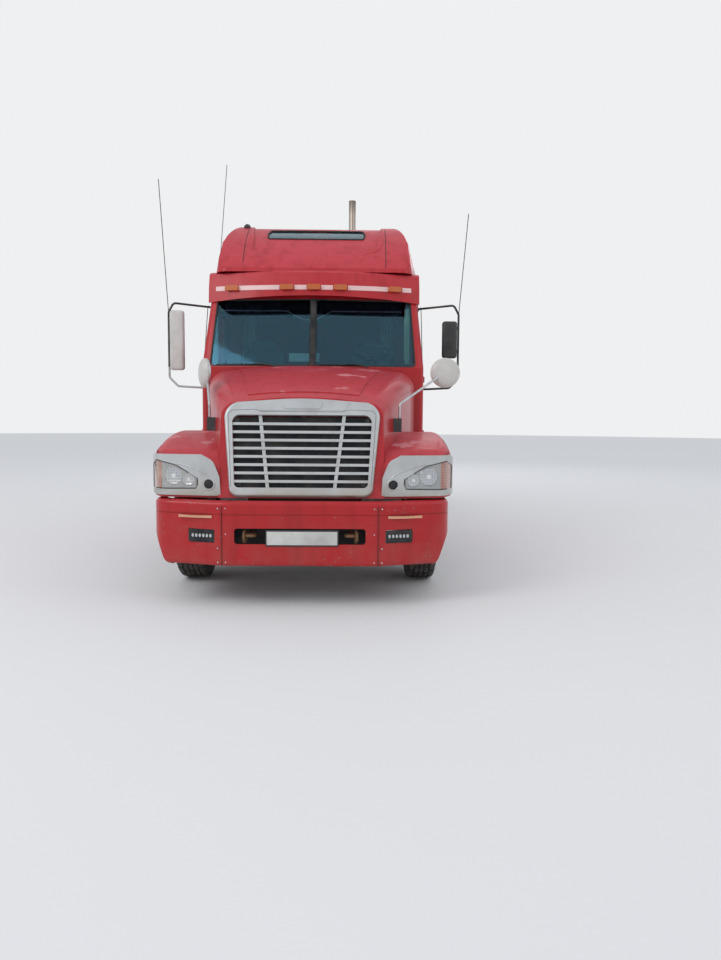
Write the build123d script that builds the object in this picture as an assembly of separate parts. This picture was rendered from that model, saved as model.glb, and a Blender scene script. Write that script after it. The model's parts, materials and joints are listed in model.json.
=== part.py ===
from build123d import *
import os
from functools import cache
from math import cos, sin, radians, pi

os.makedirs("parts", exist_ok=True)

# Millimetres. X points to the driver's side, Y rearward and Z up from the ground.
# Stations are measured rearward from the front face of the bumper.

# Wheels and their places along the vehicle
FRONT_OVERHANG = 1220
WHEELBASE = 5940
TANDEM_SPACING = 1320
REAR_OVERHANG = 1290
LENGTH = FRONT_OVERHANG + WHEELBASE + REAR_OVERHANG
TANDEM_CENTRE = FRONT_OVERHANG + WHEELBASE
REAR_AXLE_STATIONS = (TANDEM_CENTRE - TANDEM_SPACING / 2, TANDEM_CENTRE + TANDEM_SPACING / 2)
TYRE_RADIUS = 525
TYRE_WIDTH = 276
RIM_RADIUS = 286
WHEEL_SIDES = 36
FRONT_TRACK = 2060
DUAL_OUTER_TRACK = 2190
DUAL_SPACING = 330
KINGPIN_OFFSET = 835

# Frame
RAIL_OUTSIDE = 430
RAIL_WIDTH = 80
RAIL_TOP = 985
RAIL_HEIGHT = 265
RAIL_WALL = 12
RAIL_START = 230
RAIL_END = 8240

# Bumper
BUMPER_HALF_WIDTH = 1187
BUMPER_BOTTOM = 318
BUMPER_TOP = 835
BUMPER_WALL = 12
BUMPER_LEDGE = 72
BUMPER_END = 585
BUMPER_CENTRE_HALF = 600
BUMPER_SWEEP = 190

# Hood, its hinge line and its wheel arches
HINGE_STATION = 185
HINGE_HEIGHT = BUMPER_TOP + 45
HOOD_GAP = 14
HOOD_BOTTOM = BUMPER_TOP + HOOD_GAP
HOOD_WALL = 14
NOSE_LEAN = 15
NOSE_START = 125
HOOD_REACH = 1595
ARCH_RADIUS = 632
FENDER_HALF_WIDTH = 1225
FENDER_TOP = 1352

# Cab and sleeper
CAB_FRONT = 1800
CAB_BACK = 3050
CAB_FLOOR = 1060
BELT = 1990
HEADER = 2750
CAB_ROOF = 2985
CAB_HALF = 1130
HEADER_HALF = 1075
ROOF_HALF = 1045
CAB_WALL = 50
CAB_SWEEP = 0.115
WINDSHIELD_RAKE = 300
SLEEPER_FRONT = CAB_BACK + 10
SLEEPER_BACK = 4830
SLEEPER_HALF = 1165
SLEEPER_FLOOR = 1010
SLEEPER_WALL = 50
ROOF_TOP = 3712

# Running fit of every pin in its bore, and the gap round a piece in its seat
PIN_FIT = 0.3
SEAT_GAP = 0.3

# Doors
DOOR_FRONT = 2030
DOOR_BACK = 2930
DOOR_BOTTOM = 1120
DOOR_TOP = 2665
DOOR_GAP = 12
GLASS = 6
GLASS_INSET = 14
DOOR_HINGES = (1300, 1850)
BAGGAGE_HINGES = (1200, 1540)
HINGE_BARREL = 8
HINGE_LEAF = 30
HINGE_LEAF_WALL = 5

# Fifth wheel
FIFTH_STATION = TANDEM_CENTRE - 180
FIFTH_TOP = 1215
FIFTH_THICKNESS = 52
FIFTH_RADIUS = 460
KINGPIN_RADIUS = 25.5

# Exhaust
STACK_X = 394
STACK_STATION = 4985
STACK_RADIUS = 48
STACK_TOP = 4500
MUFFLER_RADIUS = 130

# Tanks
TANK_RADIUS = 305
TANK_X = 830
TANK_HEIGHT = 695
TANK_STATIONS = (2880, 4640)


def at(station):
    """The Y coordinate of a station."""
    return station - LENGTH / 2


def box(x, stations, z):
    """A block between two X limits, two stations and two heights."""
    size = (x[1] - x[0], stations[1] - stations[0], z[1] - z[0])
    centre = ((x[0] + x[1]) / 2, at((stations[0] + stations[1]) / 2), (z[0] + z[1]) / 2)
    return Pos(*centre) * Box(*size)


def cylinder_x(x, station, z, radius):
    """A cylinder that lies across the vehicle."""
    middle = (x[0] + x[1]) / 2
    return Pos(middle, at(station), z) * Rot(0, 90, 0) * Cylinder(radius, x[1] - x[0])


def cylinder_y(x, stations, z, radius):
    """A cylinder that lies along the vehicle."""
    middle = at((stations[0] + stations[1]) / 2)
    return Pos(x, middle, z) * Rot(90, 0, 0) * Cylinder(radius, stations[1] - stations[0])


def cylinder_z(x, station, z, radius):
    """An upright cylinder."""
    return Pos(x, at(station), (z[0] + z[1]) / 2) * Cylinder(radius, z[1] - z[0])


def side_face(x, wire):
    """A face from a wire drawn as (station, height), at one X."""
    plane = Plane(origin=(x, at(0), 0), x_dir=(0, 1, 0), z_dir=(1, 0, 0))
    return plane * make_face(wire)


def side_prism(wire, x):
    """A side outline, drawn as (station, height), carried from one X to another."""
    return extrude(side_face(x[0], wire), x[1] - x[0], dir=(1, 0, 0))


def front_prism(wire, stations):
    """A front outline, drawn as (x, height), carried from one station to another."""
    plane = Plane(origin=(0, at(stations[0]), 0), x_dir=(1, 0, 0), z_dir=(0, -1, 0))
    return extrude(plane * make_face(wire), stations[1] - stations[0], dir=(0, 1, 0))


def plan_prism(wire, z):
    """A plan outline, drawn as (x, station), carried from one height to another."""
    plane = Plane(origin=(0, at(0), z[0]))
    return extrude(plane * make_face(wire), z[1] - z[0], dir=(0, 0, 1))


def outline(points, radius=0):
    """A closed outline with one corner radius, or one for each corner."""
    if radius == 0:
        return Polyline(*points, close=True)
    return FilletPolyline(*points, radius=radius, close=True)


def rounded(x, z, radius):
    """A rounded rectangle between two limits each way."""
    return outline([(x[0], z[0]), (x[1], z[0]), (x[1], z[1]), (x[0], z[1])], radius)


def offset_outline(points, distance):
    """The points of a closed outline moved outward by a distance."""
    count = len(points)
    moved = []
    for index in range(count):
        before = Vector(*points[index - 1], 0)
        here = Vector(*points[index], 0)
        after = Vector(*points[(index + 1) % count], 0)
        into = (here - before).normalized()
        out = (after - here).normalized()
        normal_in = Vector(into.Y, -into.X, 0)
        normal_out = Vector(out.Y, -out.X, 0)
        bisector = (normal_in + normal_out).normalized()
        reach = distance / bisector.dot(normal_in)
        corner = here + bisector * reach
        moved.append((corner.X, corner.Y))
    return moved


def rod(start, end, radius):
    """A round bar between two points given as (x, station, z)."""
    a = Vector(start[0], at(start[1]), start[2])
    b = Vector(end[0], at(end[1]), end[2])
    plane = Plane(origin=a, z_dir=b - a)
    return plane * Cylinder(radius, (b - a).length, align=(Align.CENTER, Align.CENTER, Align.MIN))


def pipe(points, radius, bend):
    """A round tube bent through points given as (x, station, z)."""
    route = FilletPolyline(*[(x, at(s), z) for x, s, z in points], radius=bend)
    start = Plane(origin=route @ 0, z_dir=route % 0)
    return sweep(start * Circle(radius), path=route)


def both(shape):
    """A shape and its mirror image on the other side."""
    return [shape, mirror(shape, about=Plane.YZ)]


def limits(side, inner, outer):
    """X limits on one side of the vehicle: -1 is the passenger's side, 1 the driver's."""
    return tuple(sorted((side * inner, side * outer)))


def save(node, *shapes):
    """Write the solids of one sub-part."""
    solids = []
    for shape in shapes:
        solids += list(shape.solids())
    export_step(Compound(solids), f"parts/{node}.step")


# Frame rails, crossmembers and cab mounts

HOOD_PIN = 14
HOOD_EAR = 24
HOOD_EAR_WIDTH = 30
HOOD_EAR_GAP = 6


def hood_ear(x):
    """A rounded ear on the hood's hinge line, reaching rearward to the rail's end."""
    ear = box(x, (HINGE_STATION, RAIL_START), (HINGE_HEIGHT - HOOD_EAR, HINGE_HEIGHT + HOOD_EAR))
    return ear + cylinder_x(x, HINGE_STATION, HINGE_HEIGHT, HOOD_EAR)


def hood_pin():
    """The ear at a rail's front end and the pin that the hood turns on."""
    inner = RAIL_OUTSIDE - HOOD_EAR_WIDTH
    reach = RAIL_OUTSIDE + HOOD_EAR_GAP + HOOD_EAR_WIDTH
    pin = cylinder_x((inner, reach), HINGE_STATION, HINGE_HEIGHT, HOOD_PIN)
    return hood_ear((inner, RAIL_OUTSIDE)) + pin


def frame_rail():
    """A channel rail with its open side inward, and the hood's ear at its front."""
    inner = RAIL_OUTSIDE - RAIL_WIDTH
    bottom = RAIL_TOP - RAIL_HEIGHT
    rail = box((inner, RAIL_OUTSIDE), (RAIL_START, RAIL_END), (bottom, RAIL_TOP))
    hollow = box(
        (inner, RAIL_OUTSIDE - RAIL_WALL),
        (RAIL_START, RAIL_END),
        (bottom + RAIL_WALL, RAIL_TOP - RAIL_WALL),
    )
    return rail - hollow + hood_pin()


def crossmember(station, width=120):
    """A channel across the frame that ends on the webs of the rails."""
    reach = RAIL_OUTSIDE - RAIL_WALL
    top = RAIL_TOP - RAIL_WALL
    bottom = RAIL_TOP - RAIL_HEIGHT + RAIL_WALL
    beam = box((-reach, reach), (station - width / 2, station + width / 2), (bottom, top))
    wall = RAIL_WALL
    stations = (station - width / 2 + wall, station + width / 2)
    return beam - box((-reach, reach), stations, (bottom + wall, top - wall))


CROSSMEMBERS = (330, 2690, 3700, 5300, TANDEM_CENTRE - 1030, TANDEM_CENTRE, RAIL_END - 70)
CAB_MOUNTS = (1900, 2900)
SLEEPER_MOUNTS = (3300, 4640)
MOUNT_LENGTH = 90


def cab_mount(station, floor):
    """A rubber mount on the rail's top that carries the cab's or the sleeper's floor."""
    stations = (station - MOUNT_LENGTH / 2, station + MOUNT_LENGTH / 2)
    return box((RAIL_OUTSIDE - RAIL_WIDTH, RAIL_OUTSIDE), stations, (RAIL_TOP, floor))


# Bumper


def bumper_outline(inset=0):
    """The plan of the bumper: flat middle and swept, rounded ends."""
    half = BUMPER_HALF_WIDTH - inset
    end = BUMPER_END
    corner = BUMPER_SWEEP + inset
    points = [
        (-half, end),
        (-half + 6, corner),
        (-BUMPER_CENTRE_HALF, inset),
        (BUMPER_CENTRE_HALF, inset),
        (half - 6, corner),
        (half, end),
    ]
    return outline(points, [0, 190, 380, 380, 190, 0])


BUMPER_OPENING_HALF = 508
BUMPER_OPENING = (503, 626)
BUMPER_TAPER_START = 590
BUMPER_FOOT_HALF = 1075
LAMP_RECESS_X = (662, 878)
LAMP_RECESS = (510, 614)
CREASE = (728, 737)
BUMPER_LOWER_ROUND = 45
BUMPER_UPPER_ROUND = 36


def bumper_front(inset=0):
    """The front outline of the bumper: straight above, drawn in at its lower corners."""
    half = BUMPER_HALF_WIDTH + 1 - inset
    foot = BUMPER_FOOT_HALF - inset
    right = [(foot, BUMPER_BOTTOM - 1), (half, BUMPER_TAPER_START), (half, BUMPER_TOP + 1)]
    left = [(-x, z) for x, z in reversed(right)]
    wire = outline(left + right, [0, 160, 90, 90, 160, 0])
    return front_prism(wire, (-10, BUMPER_END + 10))


def front_bumper():
    """A shell with a top ledge, a tow opening, two lamp recesses and a crease."""
    shell = plan_prism(bumper_outline(), (BUMPER_BOTTOM, BUMPER_TOP))
    rear = at(BUMPER_END) - 1
    lower = [e for e in shell.faces().sort_by(Axis.Z)[0].edges() if e.center().Y < rear]
    shell = fillet(lower, BUMPER_LOWER_ROUND)
    upper = [e for e in shell.faces().sort_by(Axis.Z)[-1].edges() if e.center().Y < rear]
    shell = fillet(upper, BUMPER_UPPER_ROUND)
    shell &= bumper_front()
    hollow = plan_prism(bumper_outline(BUMPER_WALL), (BUMPER_BOTTOM - 1, BUMPER_TOP - BUMPER_WALL))
    shell -= hollow & bumper_front(BUMPER_WALL)
    shell -= plan_prism(bumper_outline(BUMPER_LEDGE), (BUMPER_BOTTOM + 300, BUMPER_TOP + 1))
    crease = plan_prism(bumper_outline(-1), CREASE) - plan_prism(bumper_outline(5), CREASE)
    shell -= crease
    opening = rounded((-BUMPER_OPENING_HALF, BUMPER_OPENING_HALF), BUMPER_OPENING, 25)
    shell -= front_prism(opening, (-20, 200))
    bracket_z = (BUMPER_OPENING[1] + 14, BUMPER_TOP - 40)
    for side in (-1, 1):
        shell -= front_prism(rounded(limits(side, *LAMP_RECESS_X), LAMP_RECESS, 12), (-20, 250))
        x = limits(side, RAIL_OUTSIDE - RAIL_WIDTH, RAIL_OUTSIDE)
        shell += box(x, (BUMPER_WALL, RAIL_START), bracket_z)
    return shell


def running_lamp():
    """The lamp unit that fills one bumper recess."""
    x = (LAMP_RECESS_X[0] + SEAT_GAP, LAMP_RECESS_X[1] - SEAT_GAP)
    z = (LAMP_RECESS[0] + SEAT_GAP, LAMP_RECESS[1] - SEAT_GAP)
    unit = front_prism(rounded(x, z, 12), (-20, 220))
    return unit & (
        plan_prism(bumper_outline(8), (BUMPER_BOTTOM, BUMPER_TOP))
        - plan_prism(bumper_outline(60), (BUMPER_BOTTOM, BUMPER_TOP))
    )


def tow_hook():
    """A forged hook that reaches forward from the rail into the opening."""
    middle = RAIL_OUTSIDE - RAIL_WIDTH / 2
    height = (BUMPER_OPENING[0] + BUMPER_OPENING[1]) / 2
    eye = Pos(middle, at(75), height) * Torus(38, 13)
    shank = box((middle - 14, middle + 14), (120, RAIL_START), (height - 16, height + 16))
    hanger = box(
        (middle - 14, middle + 14),
        (RAIL_START, RAIL_START + 90),
        (height - 16, RAIL_TOP - RAIL_HEIGHT),
    )
    return eye + box((middle - 14, middle + 14), (112, 140), (height - 13, height + 13)) + shank + hanger


# Hood with its fenders

# Nose sections as (station, lean in degrees, half width, height of the crown, corner radius)
NOSE_SECTIONS = (
    (NOSE_START, NOSE_LEAN, 652, 1645, 120),
    (900, 0, 838, 1836, 160),
    (HINGE_STATION + HOOD_REACH, 0, 1020, 1985, 175),
)
NOSE_CROWN = 45
BULGE_RISE = 8
# The raised middle of the hood's top as (half width, station)
BULGE_PLAN = ((455, 440), (722, 1790), (-722, 1790), (-455, 440))


def nose_section(station, lean, half, top, radius, inset):
    """One closed section: flat sides, round shoulders and a crowned top."""
    up = cos(radians(lean))
    height = (top - HOOD_BOTTOM) / up - inset
    half -= inset
    shoulder = height - NOSE_CROWN - radius
    bend = radius * (1 - sin(radians(45)))
    edge = shoulder + radius
    right = Line((half, 0), (half, shoulder))
    corner = ThreePointArc((half, shoulder), (half - bend, edge - bend), (half - radius, edge))
    crown = ThreePointArc((half - radius, edge), (0, height), (radius - half, edge))
    corner_left = ThreePointArc((radius - half, edge), (bend - half, edge - bend), (-half, shoulder))
    left = Line((-half, shoulder), (-half, 0))
    floor = Line((-half, 0), (half, 0))
    face = make_face([right, corner, crown, corner_left, left, floor])
    plane = Plane(
        origin=(0, at(station), HOOD_BOTTOM),
        x_dir=(1, 0, 0),
        z_dir=(0, -up, sin(radians(lean))),
    )
    return plane * face


@cache
def nose(inset=0):
    """The lofted nose from the grille face to the cowl."""
    first, middle, last = NOSE_SECTIONS
    shift = (
        (first[0] + inset,) + first[1:],
        middle,
        (last[0] + (1 if inset else 0),) + last[1:],
    )
    return loft([nose_section(*row, inset) for row in shift])


FENDER_FRONT = 145
FENDER_INSIDE = 645
# The fender's plan as (x, station): lamp corner, side and the sides hidden in the hood
FENDER_PLAN = ((400, 145), (720, 145), (1128, 212), (1225, 425), (1225, 1900), (400, 1900))
FENDER_PLAN_ROUNDS = (0, 320, 150, 330, 0, 0)


def fender_side(inset=0):
    """The side outline of a fender: brow, crown and rear, down to the bumper line."""
    top = FENDER_TOP - inset
    low = HOOD_BOTTOM - (1 if inset else 0)
    rear = HINGE_STATION + HOOD_REACH + (1 if inset else 0)
    front = FENDER_FRONT + inset
    face = Line((front, low), (front, 1010))
    brow = ThreePointArc((front, 1010), (front + 90, 1150 - inset), (front + 260, 1240 - inset))
    crown = ThreePointArc((front + 260, 1240 - inset), (1000, top), (rear, 1290 - inset))
    back = Polyline((rear, 1290 - inset), (rear, 560), (1350, 560), (1350, low), (front, low))
    return [face, brow, crown, back]


def fender_plan(inset=0):
    """The plan outline of a fender: swept headlamp corner and straight side."""
    rounds = [radius - inset if radius else 0 for radius in FENDER_PLAN_ROUNDS]
    return outline(offset_outline(FENDER_PLAN, -inset), rounds)


def fender(inset=0):
    """One fender, without the rounding of its outer edge."""
    side = side_prism(fender_side(inset), (FENDER_INSIDE, FENDER_HALF_WIDTH + 5))
    plan = plan_prism(fender_plan(inset), (500, 1500))
    return side & plan


FENDER_ROUND = 105
LINER_WALL = 9


def round_fender():
    """A fender with its outer top edge rounded."""
    body = fender()
    edges = [
        e
        for e in body.edges()
        if e.center().X > 700 and e.center().Z > 1030 and e.length > 120 and e.center().Y < at(1700)
    ]
    return fillet(edges, FENDER_ROUND)


def hood_lug():
    """The lug behind the nose face that turns on the frame's pin."""
    inner = RAIL_OUTSIDE + HOOD_EAR_GAP
    x = (inner, inner + HOOD_EAR_WIDTH)
    lug = box(x, (NOSE_START, HINGE_STATION), (HINGE_HEIGHT - HOOD_EAR, HINGE_HEIGHT + HOOD_EAR))
    lug += cylinder_x(x, HINGE_STATION, HINGE_HEIGHT, HOOD_EAR)
    return (lug & nose()) - cylinder_x(x, HINGE_STATION, HINGE_HEIGHT, HOOD_PIN + PIN_FIT)


def hood_shell():
    """Nose and fenders as one moulding, open below and behind, with arches and liners."""
    reach = cylinder_x((-1500, 1500), HINGE_STATION, HINGE_HEIGHT, HOOD_REACH)
    beyond = box((-1500, 1500), (FRONT_OVERHANG, 2500), (0, HINGE_HEIGHT)) - reach
    outer = nose()
    bulge = (Pos(0, 0, BULGE_RISE) * outer) & plan_prism(outline(BULGE_PLAN), (HOOD_BOTTOM, 2200))
    shell = outer + bulge
    for part in both(round_fender()):
        shell += part
    shell -= nose(HOOD_WALL)
    for part in both(fender(HOOD_WALL + 2) - outer):
        shell -= part
    arch = FENDER_HALF_WIDTH + 10
    for side in (-1, 1):
        opening = cylinder_x(limits(side, 470, arch), FRONT_OVERHANG, TYRE_RADIUS, ARCH_RADIUS)
        liner_x = limits(side, FENDER_INSIDE - 5, FENDER_HALF_WIDTH - 8)
        liner = cylinder_x(liner_x, FRONT_OVERHANG, TYRE_RADIUS, ARCH_RADIUS + LINER_WALL)
        liner &= box((-1500, 1500), (FENDER_FRONT + 60, 1900), (HOOD_BOTTOM, 1400))
        shell = shell - opening + (liner - opening)
    for lug in both(hood_lug()):
        shell += lug
    return shell - beyond


# Grille


def face_plane(depth=0):
    """The leaning plane of the nose face, moved rearward by a depth."""
    lean = radians(NOSE_LEAN)
    return Plane(
        origin=(0, at(NOSE_START + depth), HOOD_BOTTOM),
        x_dir=(1, 0, 0),
        z_dir=(0, -cos(lean), sin(lean)),
    )


GRILLE_HEIGHT = (NOSE_SECTIONS[0][3] - HOOD_BOTTOM) / cos(radians(NOSE_LEAN))
GRILLE_FOOT_HALF = 560
GRILLE_HEAD_HALF = 634
GRILLE_SHOULDER = 770
GRILLE_ROUNDS = (130, 75, 75, 130, 2500)
GRILLE_OPEN_FOOT_HALF = 524
GRILLE_OPEN_HEAD_HALF = 560
GRILLE_OPEN_BOTTOM = 78
GRILLE_OPEN_TOP = 668
SURROUND_DEPTH = 34
BAR_COUNT = 8
BAR_FIRST = 53
BAR_PITCH = 66.6
BAR_HEIGHT = 21
STRUT_HEAD = 336
STRUT_FOOT = 264
STRUT_WIDTH = 27
RIDGE_FOOT = 704
RIDGE_HEAD = 772
RIDGE_HEAD_HALF = 384
BADGE_HALF = 157
BADGE_HEIGHT = 70
BADGE_MIDDLE = 752


def face_prism(wire, thickness, lift=0):
    """An outline on the nose face, raised off it by a lift."""
    plane = face_plane()
    return extrude(plane.offset(lift) * make_face(wire), thickness)


def trapezium(foot, head, bottom, top, radius):
    """An upright trapezium that is symmetric about the middle."""
    return outline([(-foot, bottom), (foot, bottom), (head, top), (-head, top)], radius)


def grille_opening(thickness, lift):
    """The opening of the grille, through the surround and the nose face."""
    opening = trapezium(
        GRILLE_OPEN_FOOT_HALF,
        GRILLE_OPEN_HEAD_HALF,
        GRILLE_OPEN_BOTTOM,
        GRILLE_OPEN_TOP,
        [40, 40, 60, 60],
    )
    return face_prism(opening, thickness, lift)


def grille_surround():
    """The silver frame: rounded and crowned outside, open inside, with a raised badge plate."""
    right = [(GRILLE_FOOT_HALF, 8), (GRILLE_HEAD_HALF, GRILLE_SHOULDER), (0, GRILLE_HEIGHT - 8)]
    left = [(-GRILLE_HEAD_HALF, GRILLE_SHOULDER), (-GRILLE_FOOT_HALF, 8)]
    border = outline(left + right, GRILLE_ROUNDS)
    frame = face_prism(border, SURROUND_DEPTH)
    front = [face for face in frame.faces() if face.normal_at().Y < -0.9][0]
    frame = fillet(front.edges(), 22)
    frame -= grille_opening(SURROUND_DEPTH + 10, -5)
    ridge = trapezium(STRUT_HEAD, RIDGE_HEAD_HALF, RIDGE_FOOT, RIDGE_HEAD, 0)
    frame += face_prism(ridge, 6, SURROUND_DEPTH - 1)
    z = (BADGE_MIDDLE - BADGE_HEIGHT / 2, BADGE_MIDDLE + BADGE_HEIGHT / 2)
    badge = rounded((-BADGE_HALF, BADGE_HALF), z, BADGE_HEIGHT / 2 - 1)
    return frame + face_prism(badge, 8, SURROUND_DEPTH + 4)


def grille_bar(index):
    """One level bar across the opening."""
    middle = GRILLE_OPEN_BOTTOM + BAR_FIRST + BAR_PITCH * index
    half = GRILLE_OPEN_HEAD_HALF + 1
    return face_prism(rounded((-half, half), (middle - BAR_HEIGHT / 2, middle + BAR_HEIGHT / 2), 0), 16, 4)


def grille_strut(side):
    """One leaning strut behind the bars."""
    foot = side * STRUT_FOOT
    head = side * STRUT_HEAD
    half = STRUT_WIDTH / 2
    low = GRILLE_OPEN_BOTTOM
    high = GRILLE_OPEN_TOP
    corners = [(foot - half, low), (foot + half, low), (head + half, high), (head - half, high)]
    return face_prism(outline(corners), 14, 0)


def grille_bars():
    """Level bars on two leaning struts, trimmed to the opening."""
    grille = grille_strut(-1) + grille_strut(1)
    for index in range(BAR_COUNT):
        grille += grille_bar(index)
    return grille & grille_opening(40, -10)


# Headlamps

LAMP_OUTLINE = ((632, 866), (1260, 866), (1260, 1150), (1195, 1190), (790, 1193), (690, 1140), (640, 1010))
LAMP_ROUNDS = (10, 0, 0, 50, 60, 90, 60)
LAMP_END = 610
LAMP_PROUD = 14
LENS_OUTLINE = ((822, 922), (1218, 915), (1218, 1105), (1160, 1142), (985, 1102), (812, 1000))
LENS_ROUNDS = (30, 10, 20, 30, 80, 34)
LENS_END = 640
FOG_X = 724
FOG_HEIGHT = 956
FOG_RADIUS = 46


def corner_skin(outside, inside):
    """A layer that follows the fender's plan, between two offsets from it."""
    plan = plan_prism(fender_plan(-outside), (HOOD_BOTTOM, 1250))
    return plan - plan_prism(fender_plan(-inside), (HOOD_BOTTOM - 1, 1251))


def headlamp_surround():
    """The silver moulding that wraps the headlamp corner."""
    band = front_prism(outline(LAMP_OUTLINE, LAMP_ROUNDS), (100, LAMP_END))
    lens = front_prism(outline(LENS_OUTLINE, LENS_ROUNDS), (90, LENS_END))
    skin = corner_skin(LAMP_PROUD, SEAT_GAP)
    return (skin & band) - lens - fog_lamp(2) - nose(-SEAT_GAP)


def headlamp_lens():
    """The clear lens, just inside the surround."""
    lens = front_prism(outline(LENS_OUTLINE, LENS_ROUNDS), (90, LAMP_END - 20))
    return corner_skin(LAMP_PROUD - 4, SEAT_GAP) & lens


def fog_lamp(gap=0):
    """The small round lamp beside the headlamp."""
    lamp = cylinder_y(FOG_X, (80, 300), FOG_HEIGHT, FOG_RADIUS + gap)
    return lamp & corner_skin(LAMP_PROUD - 2 + gap, SEAT_GAP)


# Cab

# Cab sections as (height, half width, front station at the middle)
CAB_SECTIONS = (
    (CAB_FLOOR, CAB_HALF, CAB_FRONT),
    (BELT, CAB_HALF, CAB_FRONT),
    (HEADER, HEADER_HALF, CAB_FRONT + WINDSHIELD_RAKE),
    (CAB_ROOF, ROOF_HALF, CAB_FRONT + WINDSHIELD_RAKE + 70),
)
PILLAR_RADIUS = 60


def cab_section(height, half, front, inset, back):
    """A level section: vee front, rounded pillars and square back."""
    half -= inset
    front += inset
    edge = front + CAB_SWEEP * half
    points = [(-half, back), (-half, edge), (0, front), (half, edge), (half, back)]
    plane = Plane(origin=(0, at(0), height))
    return plane * make_face(outline(points, [0, PILLAR_RADIUS, 0, PILLAR_RADIUS, 0]))


@cache
def cab_block(inset=0, floor=0, roof=0, back=CAB_BACK):
    """The cab's outer form, or its inner form for an inset."""
    sections = []
    for height, half, front in CAB_SECTIONS:
        sections.append(cab_section(height, half, front, inset, back))
    body = loft(sections, ruled=True)
    if floor or roof:
        body &= box((-1500, 1500), (1000, 4000), (CAB_FLOOR + floor, CAB_ROOF - roof))
    return body


PANE_FOOT = BELT + 6
PANE_HEAD = 2700
PANE_MIDDLE = 22
PANE_FOOT_HALF = 1045
PANE_HEAD_HALF = 1008


def windshield_pane(gap=0):
    """The front outline of one half of the windshield."""
    points = [
        (PANE_MIDDLE - gap, PANE_FOOT - gap),
        (PANE_FOOT_HALF + gap, PANE_FOOT - gap),
        (PANE_HEAD_HALF + gap, PANE_HEAD + gap),
        (PANE_MIDDLE - gap, PANE_HEAD + gap),
    ]
    return front_prism(outline(points, [20, 70, 60, 20]), (CAB_FRONT - 50, CAB_FRONT + 600))


DOOR_OUTLINE = (
    (DOOR_FRONT, DOOR_BOTTOM),
    (DOOR_BACK, DOOR_BOTTOM),
    (DOOR_BACK, DOOR_TOP),
    (DOOR_FRONT + 260, DOOR_TOP),
    (DOOR_FRONT, BELT - 10),
)
DOOR_CORNERS = (60, 60, 80, 60, 40)
DOOR_FRAME = 85


def door_prism(side, gap=0):
    """The side outline of a door, through one cab wall."""
    points = offset_outline(DOOR_OUTLINE, gap)
    radii = [radius + gap for radius in DOOR_CORNERS]
    return side_prism(outline(points, radii), limits(side, 900, 1300))


def door_window(side, gap=0):
    """The side outline of a door's window."""
    low = BELT - 70
    points = [
        (DOOR_FRONT + DOOR_FRAME, low),
        (DOOR_BACK - DOOR_FRAME, low),
        (DOOR_BACK - DOOR_FRAME, DOOR_TOP - DOOR_FRAME + 10),
        (DOOR_FRONT + 320, DOOR_TOP - DOOR_FRAME + 10),
        (DOOR_FRONT + DOOR_FRAME, BELT + 40),
    ]
    return side_prism(outline(offset_outline(points, gap), 40), limits(side, 900, 1300))


def hinge_half(side, x, station, heights, lower):
    """Barrels of one hinge line with their leaves: the lower halves are fixed, the upper ones turn."""
    halves = []
    for height in heights:
        low = height if lower else height + HINGE_LEAF + PIN_FIT
        z = (low, low + HINGE_LEAF)
        stations = (station - HINGE_LEAF, station) if lower else (station, station + HINGE_LEAF)
        barrel = cylinder_z(side * (x + HINGE_BARREL), station, z, HINGE_BARREL)
        halves.append(barrel + box(limits(side, x, x + HINGE_LEAF_WALL), stations, z))
    return halves


DOOR_HINGE_STATION = DOOR_FRONT - DOOR_GAP / 2


def cab_shell():
    """The cab's walls, floor and roof, open at the back and cut for doors and glass."""
    shell = cab_block() - cab_block(CAB_WALL, 60, 50, CAB_BACK + 1)
    pane = windshield_pane()
    for opening in both(pane):
        shell -= opening
    for side in (-1, 1):
        shell -= door_prism(side, DOOR_GAP)
        for half in hinge_half(side, CAB_HALF, DOOR_HINGE_STATION, DOOR_HINGES, True):
            shell += half
    return shell


def cab_layer(outer, inner):
    """A thin layer of the cab's walls between two depths below the surface."""
    return cab_block(outer, back=CAB_BACK) - cab_block(inner, back=CAB_BACK + 1)


def windshield():
    """Two flat panes, set into the cab's front wall."""
    layer = cab_layer(GLASS_INSET, GLASS_INSET + GLASS)
    return both(layer & windshield_pane())


def cab_door(side):
    """A door as thick as the wall, cut for its window."""
    wall = cab_block() - cab_block(CAB_WALL, back=CAB_BACK + 1)
    door = (wall & door_prism(side)) - door_window(side)
    for half in hinge_half(side, CAB_HALF, DOOR_HINGE_STATION, DOOR_HINGES, False):
        door += half
    return door


def door_glass(side):
    """The door's window."""
    return cab_layer(GLASS_INSET, GLASS_INSET + GLASS) & door_window(side)


# Sleeper and roof

SLEEPER_CORNER = 90
SLEEPER_WINDOW = (3450, 3950)
SLEEPER_WINDOW_Z = (1960, 2330)
BAGGAGE_DOOR = (3230, 3830)
BAGGAGE_DOOR_Z = (1130, 1640)
BAGGAGE_GAP = 8
BAGGAGE_HINGE_STATION = BAGGAGE_DOOR[0] - BAGGAGE_GAP / 2
PASS_HALF = 880
PASS_TOP = 2650


def sleeper_block(inset=0):
    """The sleeper's outer form with rounded rear corners."""
    half = SLEEPER_HALF - inset
    front = SLEEPER_FRONT + inset
    back = SLEEPER_BACK - inset
    points = [(-half, front), (half, front), (half, back), (-half, back)]
    z = (SLEEPER_FLOOR + inset, CAB_ROOF + (1 if inset else 0))
    corner = SLEEPER_CORNER - inset
    return plan_prism(outline(points, [10, 10, corner, corner]), z)


def sleeper_window_prism(side):
    """The outline of a sleeper's side window."""
    wire = rounded(SLEEPER_WINDOW, SLEEPER_WINDOW_Z, 80)
    return side_prism(wire, limits(side, 1000, 1300))


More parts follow.
